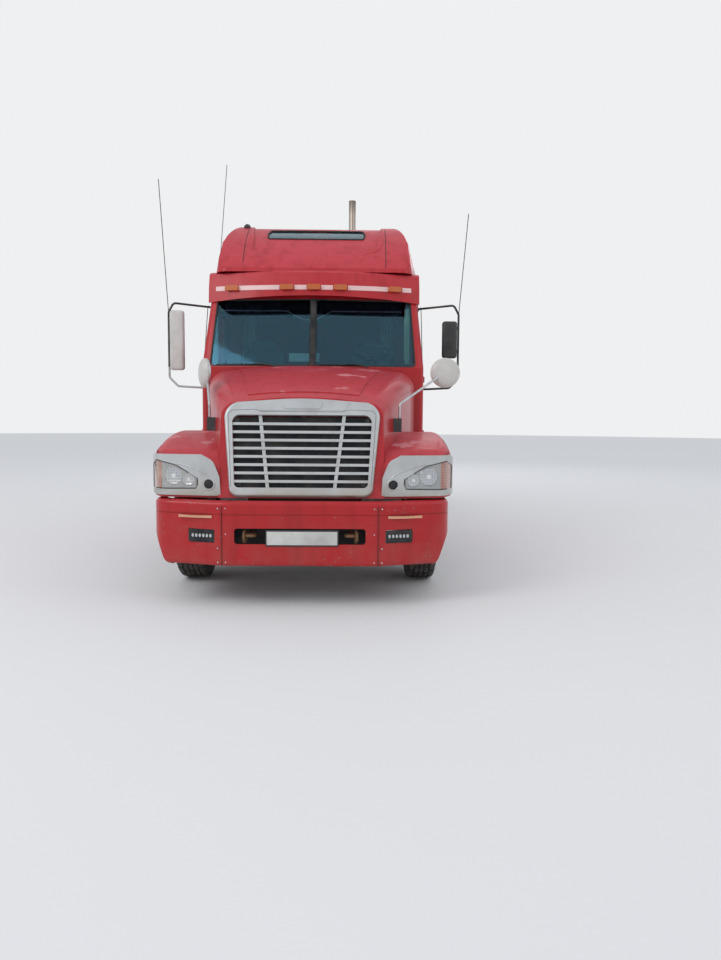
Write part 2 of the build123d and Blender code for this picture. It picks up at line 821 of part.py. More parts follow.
def baggage_prism(side, gap=0):
    """The outline of a baggage door."""
    stations = (BAGGAGE_DOOR[0] - gap, BAGGAGE_DOOR[1] + gap)
    heights = (BAGGAGE_DOOR_Z[0] - gap, BAGGAGE_DOOR_Z[1] + gap)
    return side_prism(rounded(stations, heights, 45 + gap), limits(side, 1000, 1300))


def sleeper_shell():
    """The sleeper's walls and floor, open to the cab and cut for doors and windows."""
    shell = sleeper_block() - sleeper_block(SLEEPER_WALL)
    passage = rounded((-PASS_HALF, PASS_HALF), (CAB_FLOOR + 80, PASS_TOP), 60)
    shell -= front_prism(passage, (SLEEPER_FRONT - 20, SLEEPER_FRONT + 120))
    for side in (-1, 1):
        shell -= sleeper_window_prism(side)
        shell -= baggage_prism(side, BAGGAGE_GAP)
        for half in hinge_half(side, SLEEPER_HALF, BAGGAGE_HINGE_STATION, BAGGAGE_HINGES, True):
            shell += half
    return shell


def sleeper_windows():
    """The panes of the two side windows."""
    half = SLEEPER_HALF - GLASS_INSET
    panes = []
    for side in (-1, 1):
        x = limits(side, half - GLASS, half)
        slab = box(x, (SLEEPER_FRONT, SLEEPER_BACK), (CAB_FLOOR, CAB_ROOF))
        panes.append(slab & sleeper_window_prism(side))
    return panes


def baggage_door(side):
    """A baggage door as thick as the sleeper's wall."""
    x = limits(side, SLEEPER_HALF - SLEEPER_WALL, SLEEPER_HALF)
    wall = box(x, (SLEEPER_FRONT, SLEEPER_BACK), (SLEEPER_FLOOR, CAB_ROOF))
    door = wall & baggage_prism(side)
    for half in hinge_half(side, SLEEPER_HALF, BAGGAGE_HINGE_STATION, BAGGAGE_HINGES, False):
        door += half
    return door


ROOF_START = CAB_FRONT + WINDSHIELD_RAKE + 50
ROOF_BROW = (ROOF_START + 330, 3350)
ROOF_CREST = (ROOF_START + 900, ROOF_TOP - 62)
ROOF_FLAT = ROOF_START + 1500
ROOF_SHOULDER = 3400
ROOF_SHOULDER_HALF = 1052
ROOF_FLAT_HALF = 790
ROOF_WALL = 40


def roof_side(inset=0):
    """The side outline: a sloping front that rounds into the flat top."""
    start = ROOF_START + inset
    top = ROOF_TOP - inset
    back = SLEEPER_BACK - inset
    low = CAB_ROOF - (1 if inset else 0)
    brow = (ROOF_BROW[0] + 0.7 * inset, ROOF_BROW[1] - 0.7 * inset)
    crest = (ROOF_CREST[0] + 0.3 * inset, ROOF_CREST[1] - inset)
    lip = Line((start, low), (start + 10, low + 40))
    slope = ThreePointArc((start + 10, low + 40), brow, crest)
    crown = Line(crest, (ROOF_FLAT, top))
    flat = Polyline((ROOF_FLAT, top), (back, top), (back, low), (start, low))
    return [lip, slope, crown, flat]


def roof_front(inset=0):
    """The front outline: sides that lean in and round shoulders."""
    foot = SLEEPER_HALF - inset
    shoulder = ROOF_SHOULDER_HALF - inset
    top = ROOF_TOP - inset
    edge = ROOF_FLAT_HALF - inset
    low = CAB_ROOF - (1 if inset else 0)
    half = [
        Line((foot, low), (shoulder, ROOF_SHOULDER)),
        ThreePointArc(
            (shoulder, ROOF_SHOULDER),
            (shoulder - 94, ROOF_SHOULDER + 0.62 * (top - ROOF_SHOULDER)),
            (edge, top),
        ),
    ]
    other = [mirror(edge_line, about=Plane.YZ) for edge_line in half]
    return half + [Line((edge, top), (-edge, top)), Line((foot, low), (-foot, low))] + other


def roof_plan(inset=0):
    """The plan outline: rounded front corners that widen to the sleeper."""
    half = SLEEPER_HALF - inset
    front = ROOF_START + inset
    back = SLEEPER_BACK - inset
    nose_half = 1010 - inset
    right = [(nose_half, front), (half, 3080), (half, back)]
    left = [(-x, station) for x, station in reversed(right)]
    return outline(left + right, [SLEEPER_CORNER, 300, 150, 150, 300, SLEEPER_CORNER])


@cache
def roof_block(inset=0):
    """The raised roof as a solid form."""
    side = side_prism(roof_side(inset), (-1300, 1300))
    front = front_prism(roof_front(inset), (2000, 4900))
    plan = plan_prism(roof_plan(inset), (CAB_ROOF - 2, ROOF_TOP + 1))
    return side & front & plan


ROOF_PANEL_HALF = 748
ROOF_PANEL_LOW = 3190
ROOF_PANEL_DEPTH = 14
ROOF_PANE_HALF = 538
ROOF_PANE_Z = (3418, 3562)


def roof_pane_prism():
    """The front outline of the roof's window."""
    wire = rounded((-ROOF_PANE_HALF, ROOF_PANE_HALF), ROOF_PANE_Z, 50)
    return front_prism(wire, (ROOF_START, ROOF_START + 1100))


def roof_fairing():
    """The moulded roof: recessed front panel, window and open floor."""
    block = roof_block()
    panel = outline(
        [
            (-ROOF_PANEL_HALF + 60, ROOF_PANEL_LOW),
            (ROOF_PANEL_HALF - 60, ROOF_PANEL_LOW),
            (ROOF_PANEL_HALF, ROOF_TOP + 60),
            (-ROOF_PANEL_HALF, ROOF_TOP + 60),
        ],
        [190, 190, 0, 0],
    )
    recess = front_prism(panel, (ROOF_START - 50, ROOF_START + 1300))
    sunk = Pos(0, ROOF_PANEL_DEPTH, -ROOF_PANEL_DEPTH) * block
    shell = block - (recess & (block - sunk))
    shell -= roof_block(ROOF_WALL)
    shell -= roof_pane_prism()
    return shell


def roof_window():
    """The long pane in the roof's front slope."""
    depth = ROOF_PANEL_DEPTH + 4
    outer = Pos(0, depth, -depth) * roof_block()
    inner = Pos(0, depth + GLASS, -depth - GLASS) * roof_block()
    return (outer - inner) & roof_pane_prism()


VISOR_RADIUS = 3300
VISOR_FRONT = CAB_FRONT + WINDSHIELD_RAKE - 95
VISOR_HALF = 1098
VISOR_BOTTOM = 2668
VISOR_ARCH = 56


def visor_ring(points, radius=0):
    """A ring about the visor's far centre, from a profile of (depth, height)."""
    centre = VISOR_FRONT + VISOR_RADIUS
    wire = outline([(depth - VISOR_RADIUS, height) for depth, height in points], radius)
    ring = revolve(Plane.YZ * make_face(wire), Axis.Z, 360)
    plan = rounded((-VISOR_HALF, VISOR_HALF), (VISOR_FRONT - 20, VISOR_FRONT + 700), 60)
    sector = plan_prism(plan, (VISOR_BOTTOM - 200, CAB_ROOF + 100))
    return (Pos(0, at(centre), 0) * ring) & sector


@cache
def sun_visor():
    """The band over the windshield, with its arched lip, seated on the cab and the roof."""
    foot = VISOR_BOTTOM
    top = CAB_ROOF + 9
    profile = [
        (0, foot),
        (14, foot + 150),
        (62, top - 30),
        (125, top),
        (215, top),
        (215, top - 20),
        (130, top - 24),
        (80, top - 52),
        (34, foot + 142),
        (22, foot),
    ]
    end = VISOR_HALF + 5
    arch = [
        ThreePointArc((-end, foot), (0, foot + VISOR_ARCH), (end, foot)),
        Polyline((end, foot), (end, CAB_ROOF + 100), (-end, CAB_ROOF + 100), (-end, foot)),
    ]
    ring = visor_ring(profile) & front_prism(arch, (VISOR_FRONT - 20, VISOR_FRONT + 700))
    return ring - cab_block() - roof_block()


# Places of the marker lamps across the visor, as the photograph shows them
MARKER_PLACES = (-848, -270, 4, 275, 842)
MARKER_HEIGHT = 2806
MARKER_SIZE = (136, 42, 52)
MARKER_STAND = 5


def marker_lamps():
    """Five lamps on the lower edge of the visor."""
    lamps = []
    centre = VISOR_FRONT + VISOR_RADIUS
    for place in MARKER_PLACES:
        turn = place / VISOR_RADIUS * 180 / pi
        lamp = Pos(0, -VISOR_RADIUS - MARKER_STAND, MARKER_HEIGHT) * Box(*MARKER_SIZE)
        lamp = fillet(lamp.edges().filter_by(Axis.Y), 14)
        lamps.append(Pos(0, at(centre), 0) * Rot(0, 0, turn) * lamp - sun_visor())
    return lamps


# Inside the cab

SEAT_X = 610
WHEEL_TILT = -38


WHEEL_CENTRE = (SEAT_X, at(2330), 2085)


def steering_column():
    """The column from the steering wheel into the dash."""
    return Pos(*WHEEL_CENTRE) * Rot(WHEEL_TILT, 0, 0) * Pos(0, 0, -160) * Cylinder(28, 320)


def dashboard():
    """The dash across the cab, from floor brackets to the windshield's foot."""
    profile = [(1885, 1640), (2180, 1680), (2200, 1850), (2130, 1960), (1990, 1985)]
    dash = side_prism(outline(profile, [10, 40, 50, 40, 20]), (-1070, 1070))
    column = side_prism(outline([(1900, 1125), (2080, 1125), (2120, 1700), (1900, 1700)]), (-130, 130))
    return ((dash + column) & cab_block(CAB_WALL, 60)) - steering_column()


def steering_wheel():
    """Rim, spokes, hub and column."""
    rim = Torus(235, 15)
    wheel = rim + Cylinder(58, 46)
    for turn in (0, 120, 240):
        wheel += Rot(0, 0, turn + 90) * Pos(140, 0, 0) * Box(190, 34, 14)
    return Pos(*WHEEL_CENTRE) * Rot(WHEEL_TILT, 0, 0) * wheel + steering_column()


def seat(x):
    """A cushion, a tall back and a pedestal."""
    cushion = fillet(box((x - 255, x + 255), (2480, 2960), (1440, 1560)).edges().filter_by(Axis.Y), 40)
    back_profile = [(2900, 1545), (3010, 1545), (3110, 2330), (3020, 2340)]
    back = side_prism(outline(back_profile, [20, 20, 45, 45]), (x - 245, x + 245))
    pedestal = box((x - 170, x + 170), (2560, 2900), (CAB_FLOOR + 60, 1441))
    return cushion + back + pedestal


BUNK = ((-1080, 1080), (3980, 4760), (1500, 1680))


def bunk():
    """The bed across the back of the sleeper, on its box."""
    mattress = fillet(box(*BUNK).edges(), 45)
    base = box((-1100, 1100), (4000, 4770), (SLEEPER_FLOOR + SLEEPER_WALL, 1501))
    return mattress + base


# Engine bay


ENGINE_BOTTOM = 700
GEARBOX_END = 2585
OUTPUT_HEIGHT = 670


def radiator():
    """Core, side tanks and shroud, standing on the frame."""
    core = box((-420, 420), (455, 515), (RAIL_TOP, 1520))
    core += box((-335, 335), (455, 515), (RAIL_TOP - 190, RAIL_TOP + 1))
    tanks = box((-470, 470), (440, 530), (1500, 1560))
    shroud = box((-430, 430), (515, 600), (RAIL_TOP, 1480)) - cylinder_y(0, (560, 605), 1230, 225)
    feet = box((-RAIL_OUTSIDE + 12, RAIL_OUTSIDE - 12), (440, 530), (RAIL_TOP, RAIL_TOP + 40))
    return core + tanks + shroud + feet


def engine_block():
    """The engine's mass as one block, with the gearbox behind it and the mounts on the rails."""
    engine = box((-330, 330), (640, 1720), (ENGINE_BOTTOM, 1600))
    gearbox = box((-230, 230), (1715, GEARBOX_END - 25), (560, 1010))
    flange = cylinder_y(0, (GEARBOX_END - 26, GEARBOX_END), OUTPUT_HEIGHT, 75)
    mounts = box((-RAIL_OUTSIDE + 14, RAIL_OUTSIDE - 14), (1000, 1120), (RAIL_TOP, RAIL_TOP + 40))
    return engine + gearbox + flange + mounts


# Axles, knuckles and suspension

AXLE_HEIGHT = TYRE_RADIUS
SPRING_X = 455


EYE_TOP = AXLE_HEIGHT + 35
EYE_BOTTOM = AXLE_HEIGHT - 55
EYE_RADIUS = 45
KINGPIN_SIZE = 22
BOSS_GAP = 6
BEAM_TOP = AXLE_HEIGHT - 70
BEAM_BOTTOM = AXLE_HEIGHT - 165


def beam_half():
    """The front outline of the beam's driver's half: eye, drop and low middle."""
    eye = KINGPIN_OFFSET + EYE_RADIUS
    return outline(
        [
            (0, BEAM_BOTTOM),
            (490, BEAM_BOTTOM),
            (eye - 150, EYE_BOTTOM),
            (eye, EYE_BOTTOM),
            (eye, EYE_TOP),
            (eye - 140, EYE_TOP),
            (520, BEAM_TOP),
            (0, BEAM_TOP),
        ]
    )


def leaf_spring(side):
    """The leaf pack and its two hangers on one side."""
    x = limits(side, SPRING_X - 45, SPRING_X + 45)
    middle = FRONT_OVERHANG
    leaves = outline(
        [
            (middle - 760, 660),
            (middle - 300, BEAM_TOP + 30),
            (middle - 80, BEAM_TOP),
            (middle + 80, BEAM_TOP),
            (middle + 300, BEAM_TOP + 30),
            (middle + 700, 660),
            (middle + 700, 685),
            (middle + 300, BEAM_TOP + 75),
            (middle, BEAM_TOP + 60),
            (middle - 300, BEAM_TOP + 75),
            (middle - 760, 685),
        ]
    )
    spring = side_prism(leaves, x)
    for station in (middle - 760, middle + 640):
        x = limits(side, RAIL_OUTSIDE - 65, SPRING_X + 45)
        spring += box(x, (station, station + 60), (640, RAIL_TOP - RAIL_HEIGHT))
    return spring


def front_axle():
    """Forged beam with a drop and kingpin eyes, on leaf springs."""
    half = front_prism(beam_half(), (FRONT_OVERHANG - EYE_RADIUS, FRONT_OVERHANG + EYE_RADIUS))
    straight = box((-1, KINGPIN_OFFSET), (0, 3000), (0, 1000))
    eye = cylinder_z(KINGPIN_OFFSET, FRONT_OVERHANG, (0, 1000), EYE_RADIUS)
    half &= straight + eye
    half -= cylinder_z(KINGPIN_OFFSET, FRONT_OVERHANG, (0, 1000), KINGPIN_SIZE + PIN_FIT)
    axle = half + mirror(half, about=Plane.YZ)
    for side in (-1, 1):
        axle += leaf_spring(side)
    return axle


WEB_START = 56
WEB_END = 80
SPINDLE_RADIUS = 38
SPINDLE_REACH = 210


def knuckle(side):
    """Kingpin, bosses, web and spindle of one front wheel."""
    stations = (FRONT_OVERHANG - 42, FRONT_OVERHANG + 42)
    top = (EYE_TOP + BOSS_GAP, EYE_TOP + 50)
    low = (EYE_BOTTOM - 50, EYE_BOTTOM - BOSS_GAP)
    arm = limits(side, KINGPIN_OFFSET - 42, KINGPIN_OFFSET + WEB_END)
    web = limits(side, KINGPIN_OFFSET + WEB_START, KINGPIN_OFFSET + WEB_END)
    spindle = limits(side, KINGPIN_OFFSET + WEB_END - 1, KINGPIN_OFFSET + SPINDLE_REACH)
    body = box(arm, stations, top) + box(arm, stations, low)
    body += box(web, stations, (low[0], top[1]))
    body += cylinder_x(spindle, FRONT_OVERHANG, AXLE_HEIGHT, SPINDLE_RADIUS)
    body += cylinder_z(side * KINGPIN_OFFSET, FRONT_OVERHANG, (low[0], top[1]), KINGPIN_SIZE)
    return body


AXLE_TUBE = 68


def rear_axle(station):
    """Housing with a round centre, tubes and spindles."""
    tube = cylinder_x((-900, 900), station, AXLE_HEIGHT, AXLE_TUBE)
    bowl = cylinder_x((-150, 150), station, AXLE_HEIGHT, 215)
    bowl = fillet(bowl.edges(), 40)
    nose_piece = cylinder_y(0, (station - 330, station), AXLE_HEIGHT + 60, 105)
    return tube + bowl + nose_piece


def shaft(start, end):
    """A drive shaft between two places given as (station, height)."""
    return rod((0, start[0], start[1]), (0, end[0], end[1]), 50)


def rear_axles():
    """Two drive axles joined by their shafts, back from the gearbox."""
    first, second = REAR_AXLE_STATIONS
    body = rear_axle(first) + rear_axle(second)
    body += shaft((GEARBOX_END + 2, OUTPUT_HEIGHT), (first - 325, AXLE_HEIGHT + 60))
    body += shaft((first + 150, AXLE_HEIGHT + 60), (second - 320, AXLE_HEIGHT + 60))
    return body


def rear_suspension():
    """Trailing arms, air springs and hangers of both rear axles."""
    parts = []
    for station in REAR_AXLE_STATIONS:
        for side in (-1, 1):
            x = limits(side, 385, 465)
            arm = box(x, (station - 480, station + 330), (AXLE_HEIGHT - 150, AXLE_HEIGHT - 68))
            hanger_x = limits(side, RAIL_OUTSIDE - 60, RAIL_OUTSIDE)
            hanger_z = (AXLE_HEIGHT - 170, RAIL_TOP - RAIL_HEIGHT)
            hanger = box(hanger_x, (station - 520, station - 420), hanger_z)
            bag = cylinder_z(side * 400, station + 270, (AXLE_HEIGHT - 69, RAIL_TOP - RAIL_HEIGHT), 118)
            parts.append(arm + hanger + bag)
    return parts


# Wheels


def polygon_ring(half_width, radius):
    """One many-sided section of a wheel, square to the axle."""
    corner = radius / cos(pi / WHEEL_SIDES)
    plane = Plane(origin=(half_width, 0, 0), x_dir=(0, 1, 0), z_dir=(1, 0, 0))
    turn = 180 / WHEEL_SIDES
    return plane * Rot(0, 0, turn) * RegularPolygon(corner, WHEEL_SIDES)


# Tyre sections as (distance from the middle, radius)
TYRE_SECTIONS = (
    (-0.40 * TYRE_WIDTH, RIM_RADIUS + 22),
    (-0.50 * TYRE_WIDTH, TYRE_RADIUS - 110),
    (-0.38 * TYRE_WIDTH, TYRE_RADIUS),
    (0.38 * TYRE_WIDTH, TYRE_RADIUS),
    (0.50 * TYRE_WIDTH, TYRE_RADIUS - 110),
    (0.40 * TYRE_WIDTH, RIM_RADIUS + 22),
)


def wheel_loft(sections):
    """A solid of revolution in plane facets, about the X axis."""
    body = loft([polygon_ring(x, radius) for x, radius in sections], ruled=True)
    return Solid(Shell([Face(face.outer_wire()) for face in body.faces()]))


@cache
def tyre():
    """One tyre with an open bead."""
    body = wheel_loft(TYRE_SECTIONS)
    bore = extrude(polygon_ring(-TYRE_WIDTH, RIM_RADIUS), 2 * TYRE_WIDTH, dir=(1, 0, 0))
    return body - bore


RIM_HALF = 0.40 * TYRE_WIDTH + 10


DISC_ROOT = 84
DISC_FLAT = 172
DISC_THICKNESS = 16
HAND_HOLES = 8


def rim(dish, hub_reach):
    """A rim with a dished disc, whose flat face is at a distance from the middle, and a hub."""
    barrel = wheel_loft(((-RIM_HALF, RIM_RADIUS - 1), (RIM_HALF, RIM_RADIUS - 1)))
    barrel -= wheel_loft(((-RIM_HALF - 1, RIM_RADIUS - 16), (RIM_HALF + 1, RIM_RADIUS - 16)))
    disc = wheel_loft(((DISC_ROOT, RIM_RADIUS - 10), (dish, DISC_FLAT)))
    back = DISC_THICKNESS * 1.1
    disc -= wheel_loft(((DISC_ROOT - back, RIM_RADIUS - 10), (dish - back, DISC_FLAT)))
    for index in range(HAND_HOLES):
        turn = Rot(index * 360 / HAND_HOLES, 0, 0)
        disc -= Pos(dish, 0, 0) * turn * Pos(0, 0, 216) * Rot(0, 90, 0) * Cylinder(25, 160)
    hub = Rot(0, 90, 0) * Cylinder(112, hub_reach)
    return barrel + disc + Pos(dish + hub_reach / 2 - DISC_THICKNESS / 2, 0, 0) * hub


def place_wheel(shape, side, x, station):
    """A wheel shape, made for the driver's side, at its place."""
    placed = Pos(x, at(station), AXLE_HEIGHT) * shape
    if side < 0:
        placed = mirror(placed, about=Plane.YZ)
    return placed


FRONT_DISH = 118


@cache
def front_rim():
    """The front wheel's rim; its disc stands out and its hub reaches in to the spindle."""
    wheel = rim(FRONT_DISH, 60)
    wheel += Pos(FRONT_DISH - 85, 0, 0) * Rot(0, 90, 0) * Cylinder(75, 170)
    bore = Rot(0, 90, 0) * Cylinder(SPINDLE_RADIUS + PIN_FIT, 140)
    return wheel - Pos(-50, 0, 0) * bore


@cache
def dual_rims():
    """Two rims back to back, with the axle's hub through them."""
    dish = DUAL_SPACING / 2
    outside = Pos(DUAL_SPACING, 0, 0) * mirror(rim(dish + 1, 20), about=Plane.YZ)
    hub = Pos(30, 0, 0) * Rot(0, 90, 0) * Cylinder(120, 240)
    bore = Pos(30, 0, 0) * Rot(0, 90, 0) * Cylinder(AXLE_TUBE + PIN_FIT, 250)
    return (outside + rim(dish + 1, 190) + hub) - bore


def front_wheel(side):
    """Rim and tyre of a front wheel, at their place."""
    x = FRONT_TRACK / 2
    return [place_wheel(shape, side, x, FRONT_OVERHANG) for shape in (front_rim(), tyre())]


def dual_wheel(side, station):
    """Rims and tyres of a twin wheel, at their place."""
    x = DUAL_OUTER_TRACK / 2 - DUAL_SPACING
    tyres = tyre() + Pos(DUAL_SPACING, 0, 0) * tyre()
    return [place_wheel(shape, side, x, station) for shape in (dual_rims(), tyres)]


# Tanks and steps


def fuel_tank():
    """A round tank under the sleeper, on brackets off the rail, with straps and steps."""
    tank = cylinder_y(TANK_X, TANK_STATIONS, TANK_HEIGHT, TANK_RADIUS)
    tank = fillet(tank.edges(), 35)
    for share in (0.2, 0.8):
        middle = TANK_STATIONS[0] + share * (TANK_STATIONS[1] - TANK_STATIONS[0])
        strap = cylinder_y(TANK_X, (middle - 35, middle + 35), TANK_HEIGHT, TANK_RADIUS + 6)
        bracket_z = (RAIL_TOP - RAIL_HEIGHT + 10, RAIL_TOP - 20)
        bracket = box((RAIL_OUTSIDE, TANK_X), (middle - 30, middle + 30), bracket_z)
        tank += strap + bracket
    return tank


STEP_BOX = (1925, 2790)


def cab_steps():
    """The box with two treads below the cab door."""
    body = box((RAIL_OUTSIDE, 1080), STEP_BOX, (420, 960))
    upper = box((900, 1090), (STEP_BOX[0] - 1, STEP_BOX[1] + 1), (760, 970))
    lower = box((1010, 1090), (STEP_BOX[0] - 1, STEP_BOX[1] + 1), (455, 760))
    body -= upper
    body -= lower
    for height, reach in ((455, 1150), (760, 1110)):
        body += box((1000, reach), (STEP_BOX[0] + 40, STEP_BOX[1] - 40), (height - 35, height))
    return body


# Exhaust


DOWNPIPE_RADIUS = 44
DOWNPIPE = (
    (STACK_X, STACK_STATION, 1460),
    (STACK_X, STACK_STATION, 1300),
    (RAIL_OUTSIDE + 50, STACK_STATION, 1160),
    (RAIL_OUTSIDE + 50, STACK_STATION, 600),
    (RAIL_OUTSIDE + 50, 2950, 600),
    (290, 2800, 600),
    (290, 1400, 600),
    (290, 1400, ENGINE_BOTTOM),
)


def exhaust():
    """Muffler and straight stack on a post behind the sleeper."""
    post = box((STACK_X - 30, STACK_X + 30), (STACK_STATION + 150, STACK_STATION + 190), (RAIL_TOP, 2450))
    muffler = cylinder_z(STACK_X, STACK_STATION, (1450, 2300), MUFFLER_RADIUS)
    muffler = fillet(muffler.edges(), 30)
    stack = cylinder_z(STACK_X, STACK_STATION, (2290, STACK_TOP), STACK_RADIUS)
    down = pipe(DOWNPIPE, DOWNPIPE_RADIUS, 75)
    for height in (1550, 2200):
        stations = (STACK_STATION + MUFFLER_RADIUS - 30, STACK_STATION + 190)
        post += box((STACK_X - 30, STACK_X + 30), stations, (height, height + 60))
    system = stack + muffler + post + down
    bore = cylinder_z(STACK_X, STACK_STATION, (STACK_TOP - 400, STACK_TOP + 1), STACK_RADIUS - 5)
    return system - bore


def deck_plate():
    """The walkway plate over the rails behind the sleeper."""
    plate = box((-520, 520), (4905, 5660), (RAIL_TOP, RAIL_TOP + 8))
    hole = box((STACK_X - 60, 521), (4900, STACK_STATION + 200), (RAIL_TOP - 1, RAIL_TOP + 9))
    return plate - hole


# Fifth wheel

FIFTH_PIVOT = 1105
FIFTH_PIN = 28


def fifth_wheel_plate():
    """The greased plate with its throat, jaw bore and skirt lugs."""
    y = FIFTH_STATION
    underside = FIFTH_TOP - FIFTH_THICKNESS
    plate = cylinder_z(0, y, (underside, FIFTH_TOP), FIFTH_RADIUS)
    for side in (-1, 1):
        plate += box(limits(side, 345, 395), (y - 70, y + 70), (FIFTH_PIVOT - 40, underside + 5))
    mouth = y + FIFTH_RADIUS + 20
    throat = [(-22, y), (22, y), (22, y + 60), (190, mouth), (-190, mouth), (-22, y + 60)]
    plate -= plan_prism(outline(throat), (underside - 1, FIFTH_TOP + 1))
    plate -= cylinder_z(0, y, (underside - 1, FIFTH_TOP + 1), KINGPIN_RADIUS)
    for side in (-1, 1):
        plate -= cylinder_x(limits(side, 340, 400), y, FIFTH_PIVOT, FIFTH_PIN + PIN_FIT)
    return plate


def fifth_wheel_base():
    """Saddle brackets with pivot pins on a mounting plate across the rails."""
    y = FIFTH_STATION
    base = box((-RAIL_OUTSIDE, RAIL_OUTSIDE), (y - 330, y + 330), (RAIL_TOP, RAIL_TOP + 14))
    for side in (-1, 1):
        low = RAIL_TOP + 10
        high = FIFTH_PIVOT + 35
        profile = outline([(y - 200, low), (y + 200, low), (y + 55, high), (y - 55, high)])
        base += side_prism(profile, limits(side, 402, 430))
        base += side_prism(profile, limits(side, 310, 338))
        base += cylinder_x(limits(side, 312, 428), y, FIFTH_PIVOT, FIFTH_PIN)
    return base


# Rear end


def mud_flap():
    """A hanging flap and its bracket off the rail."""
    flap = box((590, 1220), (LENGTH - 12, LENGTH), (260, 930))
    bracket = cylinder_x((RAIL_OUTSIDE + 5, 1200), LENGTH - 42, 935, 24)
    arm = box((RAIL_OUTSIDE, RAIL_OUTSIDE + 30), (RAIL_END - 120, LENGTH - 20), (905, 965))
    tab = box((600, 1210), (LENGTH - 45, LENGTH - 12), (900, 931))
    return flap, bracket + arm + tab


def tail_lamp():
    """A lamp on the end crossmember's face."""
    return box((190, 330), (RAIL_END + 12, RAIL_END + 60), (RAIL_TOP - 190, RAIL_TOP - 70))


def lamp_bracket():
    """The plate across the rail ends that carries the tail lamps."""
    return box((-RAIL_OUTSIDE, RAIL_OUTSIDE), (RAIL_END, RAIL_END + 12), (RAIL_TOP - RAIL_HEIGHT, RAIL_TOP))


# Mirrors

MIRROR_TIP = 1590
MIRROR_ARM = 1505
MIRROR_STATION = 2150
MIRROR_DEPTH = 84
# Mirror heads as (side, inner x, outer x, bottom, top, height of the whip's tip)
MIRROR_HEADS = {-1: (1346, 1488, 1968, 2574, 3899), 1: (1338, 1486, 2112, 2486, 3584)}


def door_mirror(side):
    """Tall mirror on a bent tube, with a whip antenna at its corner."""
    inner, outer, low, high, tip = MIRROR_HEADS[side]
    station = MIRROR_STATION
    arm = pipe(
        [
            (side * 1080, station + 200, 2640),
            (side * (MIRROR_ARM - 50), station, 2655),
            (side * MIRROR_ARM, station, 2560),
            (side * MIRROR_ARM, station, 1890),
            (side * (MIRROR_ARM - 90), station, 1800),
            (side * 1120, station + 40, 1785),
        ],
        11,
        45,
    )
    stations = (station - MIRROR_DEPTH / 2, station + MIRROR_DEPTH / 2)
    head = fillet(box(limits(side, inner, outer), stations, (low, high)).edges(), 26)
    bracket = box(limits(side, outer - 20, MIRROR_ARM), (station - 9, station + 9), (high - 80, high - 50))
    bracket += box(limits(side, outer - 20, MIRROR_ARM), (station - 9, station + 9), (low + 50, low + 80))
    whip = rod((side * (MIRROR_ARM + 1), station, 2560), (side * MIRROR_TIP, station, tip), 4)
    return (arm + head + bracket + whip) - cab_block()


HOOD_MIRROR_RADIUS = 127
HOOD_MIRROR_THICKNESS = 46
# Hood mirrors as (side, x, station, height, turn about the upright): one faces back, one is folded in
HOOD_MIRRORS = {1: (1209, 850, 1879, 0), -1: (880, 860, 1862, 66)}


def hood_mirror(side):
    """Round convex mirror on a rod and block, on the hood's shoulder."""
    x, station, height, turn = HOOD_MIRRORS[side]
    base = box(limits(side, 720, 815), (560, 620), (1366, 1480)) - nose()
    route = [(side * 795, 590, 1440), (side * 800, 590, 1600), (side * (x - 10), station, height)]
    head = Pos(side * x, at(station), height) * Rot(0, 0, side * turn) * Rot(90, 0, 0)
    disc = fillet(Cylinder(HOOD_MIRROR_RADIUS, HOOD_MIRROR_THICKNESS).edges(), 18)
    return base + pipe(route, 10, 40) + head * disc


def build_chassis():
    """Everything fixed to the frame below the cab."""
    save("frame_rails", *both(frame_rail()))
    flap, flap_bracket = mud_flap()
    crossmembers = [crossmember(station) for station in CROSSMEMBERS]
    mounts = [cab_mount(station, CAB_FLOOR) for station in CAB_MOUNTS]
    mounts += [cab_mount(station, SLEEPER_FLOOR) for station in SLEEPER_MOUNTS]
    pairs = [solid for mount in mounts for solid in both(mount)]
    save("frame_crossmembers", *crossmembers, lamp_bracket(), *both(flap_bracket), *pairs)
    save("front_bumper", front_bumper())
    save("running_lamps", *both(running_lamp()))
    save("tow_hooks", *both(tow_hook()))
    save("radiator", radiator())
    save("engine_block", engine_block())
    save("front_axle", front_axle())
    save("rear_axles", rear_axles())
    save("rear_suspension", *rear_suspension())
    save("fuel_tanks", *both(fuel_tank()))
    save("cab_steps", *both(cab_steps()))
    save("exhaust", exhaust())
    save("deck_plate", deck_plate())
    save("fifth_wheel_base", fifth_wheel_base())
    save("mud_flaps", *both(flap))
    save("tail_lamps", *both(tail_lamp()))


def build_hood():
    """The tilting hood and what rides on it."""
    save("hood_shell", hood_shell() - grille_opening(3 * HOOD_WALL, -2 * HOOD_WALL))
    save("grille_surround", grille_surround())
    save("grille_bars", grille_bars())
    save("headlamp_surrounds", *both(headlamp_surround()))
    save("headlamp_lenses", *both(headlamp_lens()), *both(fog_lamp()))
    save("hood_mirrors", hood_mirror(-1), hood_mirror(1))


def build_cab():
    """Cab, sleeper and roof with their glass and furniture."""
    save("cab_shell", cab_shell())
    save("cab_glass", *windshield(), *sleeper_windows(), roof_window())
    save("sleeper_shell", sleeper_shell())
    save("roof_fairing", roof_fairing())
    save("sun_visor", sun_visor())
    save("marker_lamps", *marker_lamps())
    save("dashboard", dashboard())
    save("steering_wheel", steering_wheel())
    save("seats_and_bunk", seat(SEAT_X), seat(-SEAT_X), bunk())


def build_doors():
    """Cab doors with glass and mirrors, and the baggage doors."""
    for name, side in (("left", 1), ("right", -1)):
        save(f"door_{name}", cab_door(side))
        save(f"door_glass_{name}", door_glass(side))
        save(f"mirror_{name}", door_mirror(side))
        save(f"baggage_door_{name}", baggage_door(side))


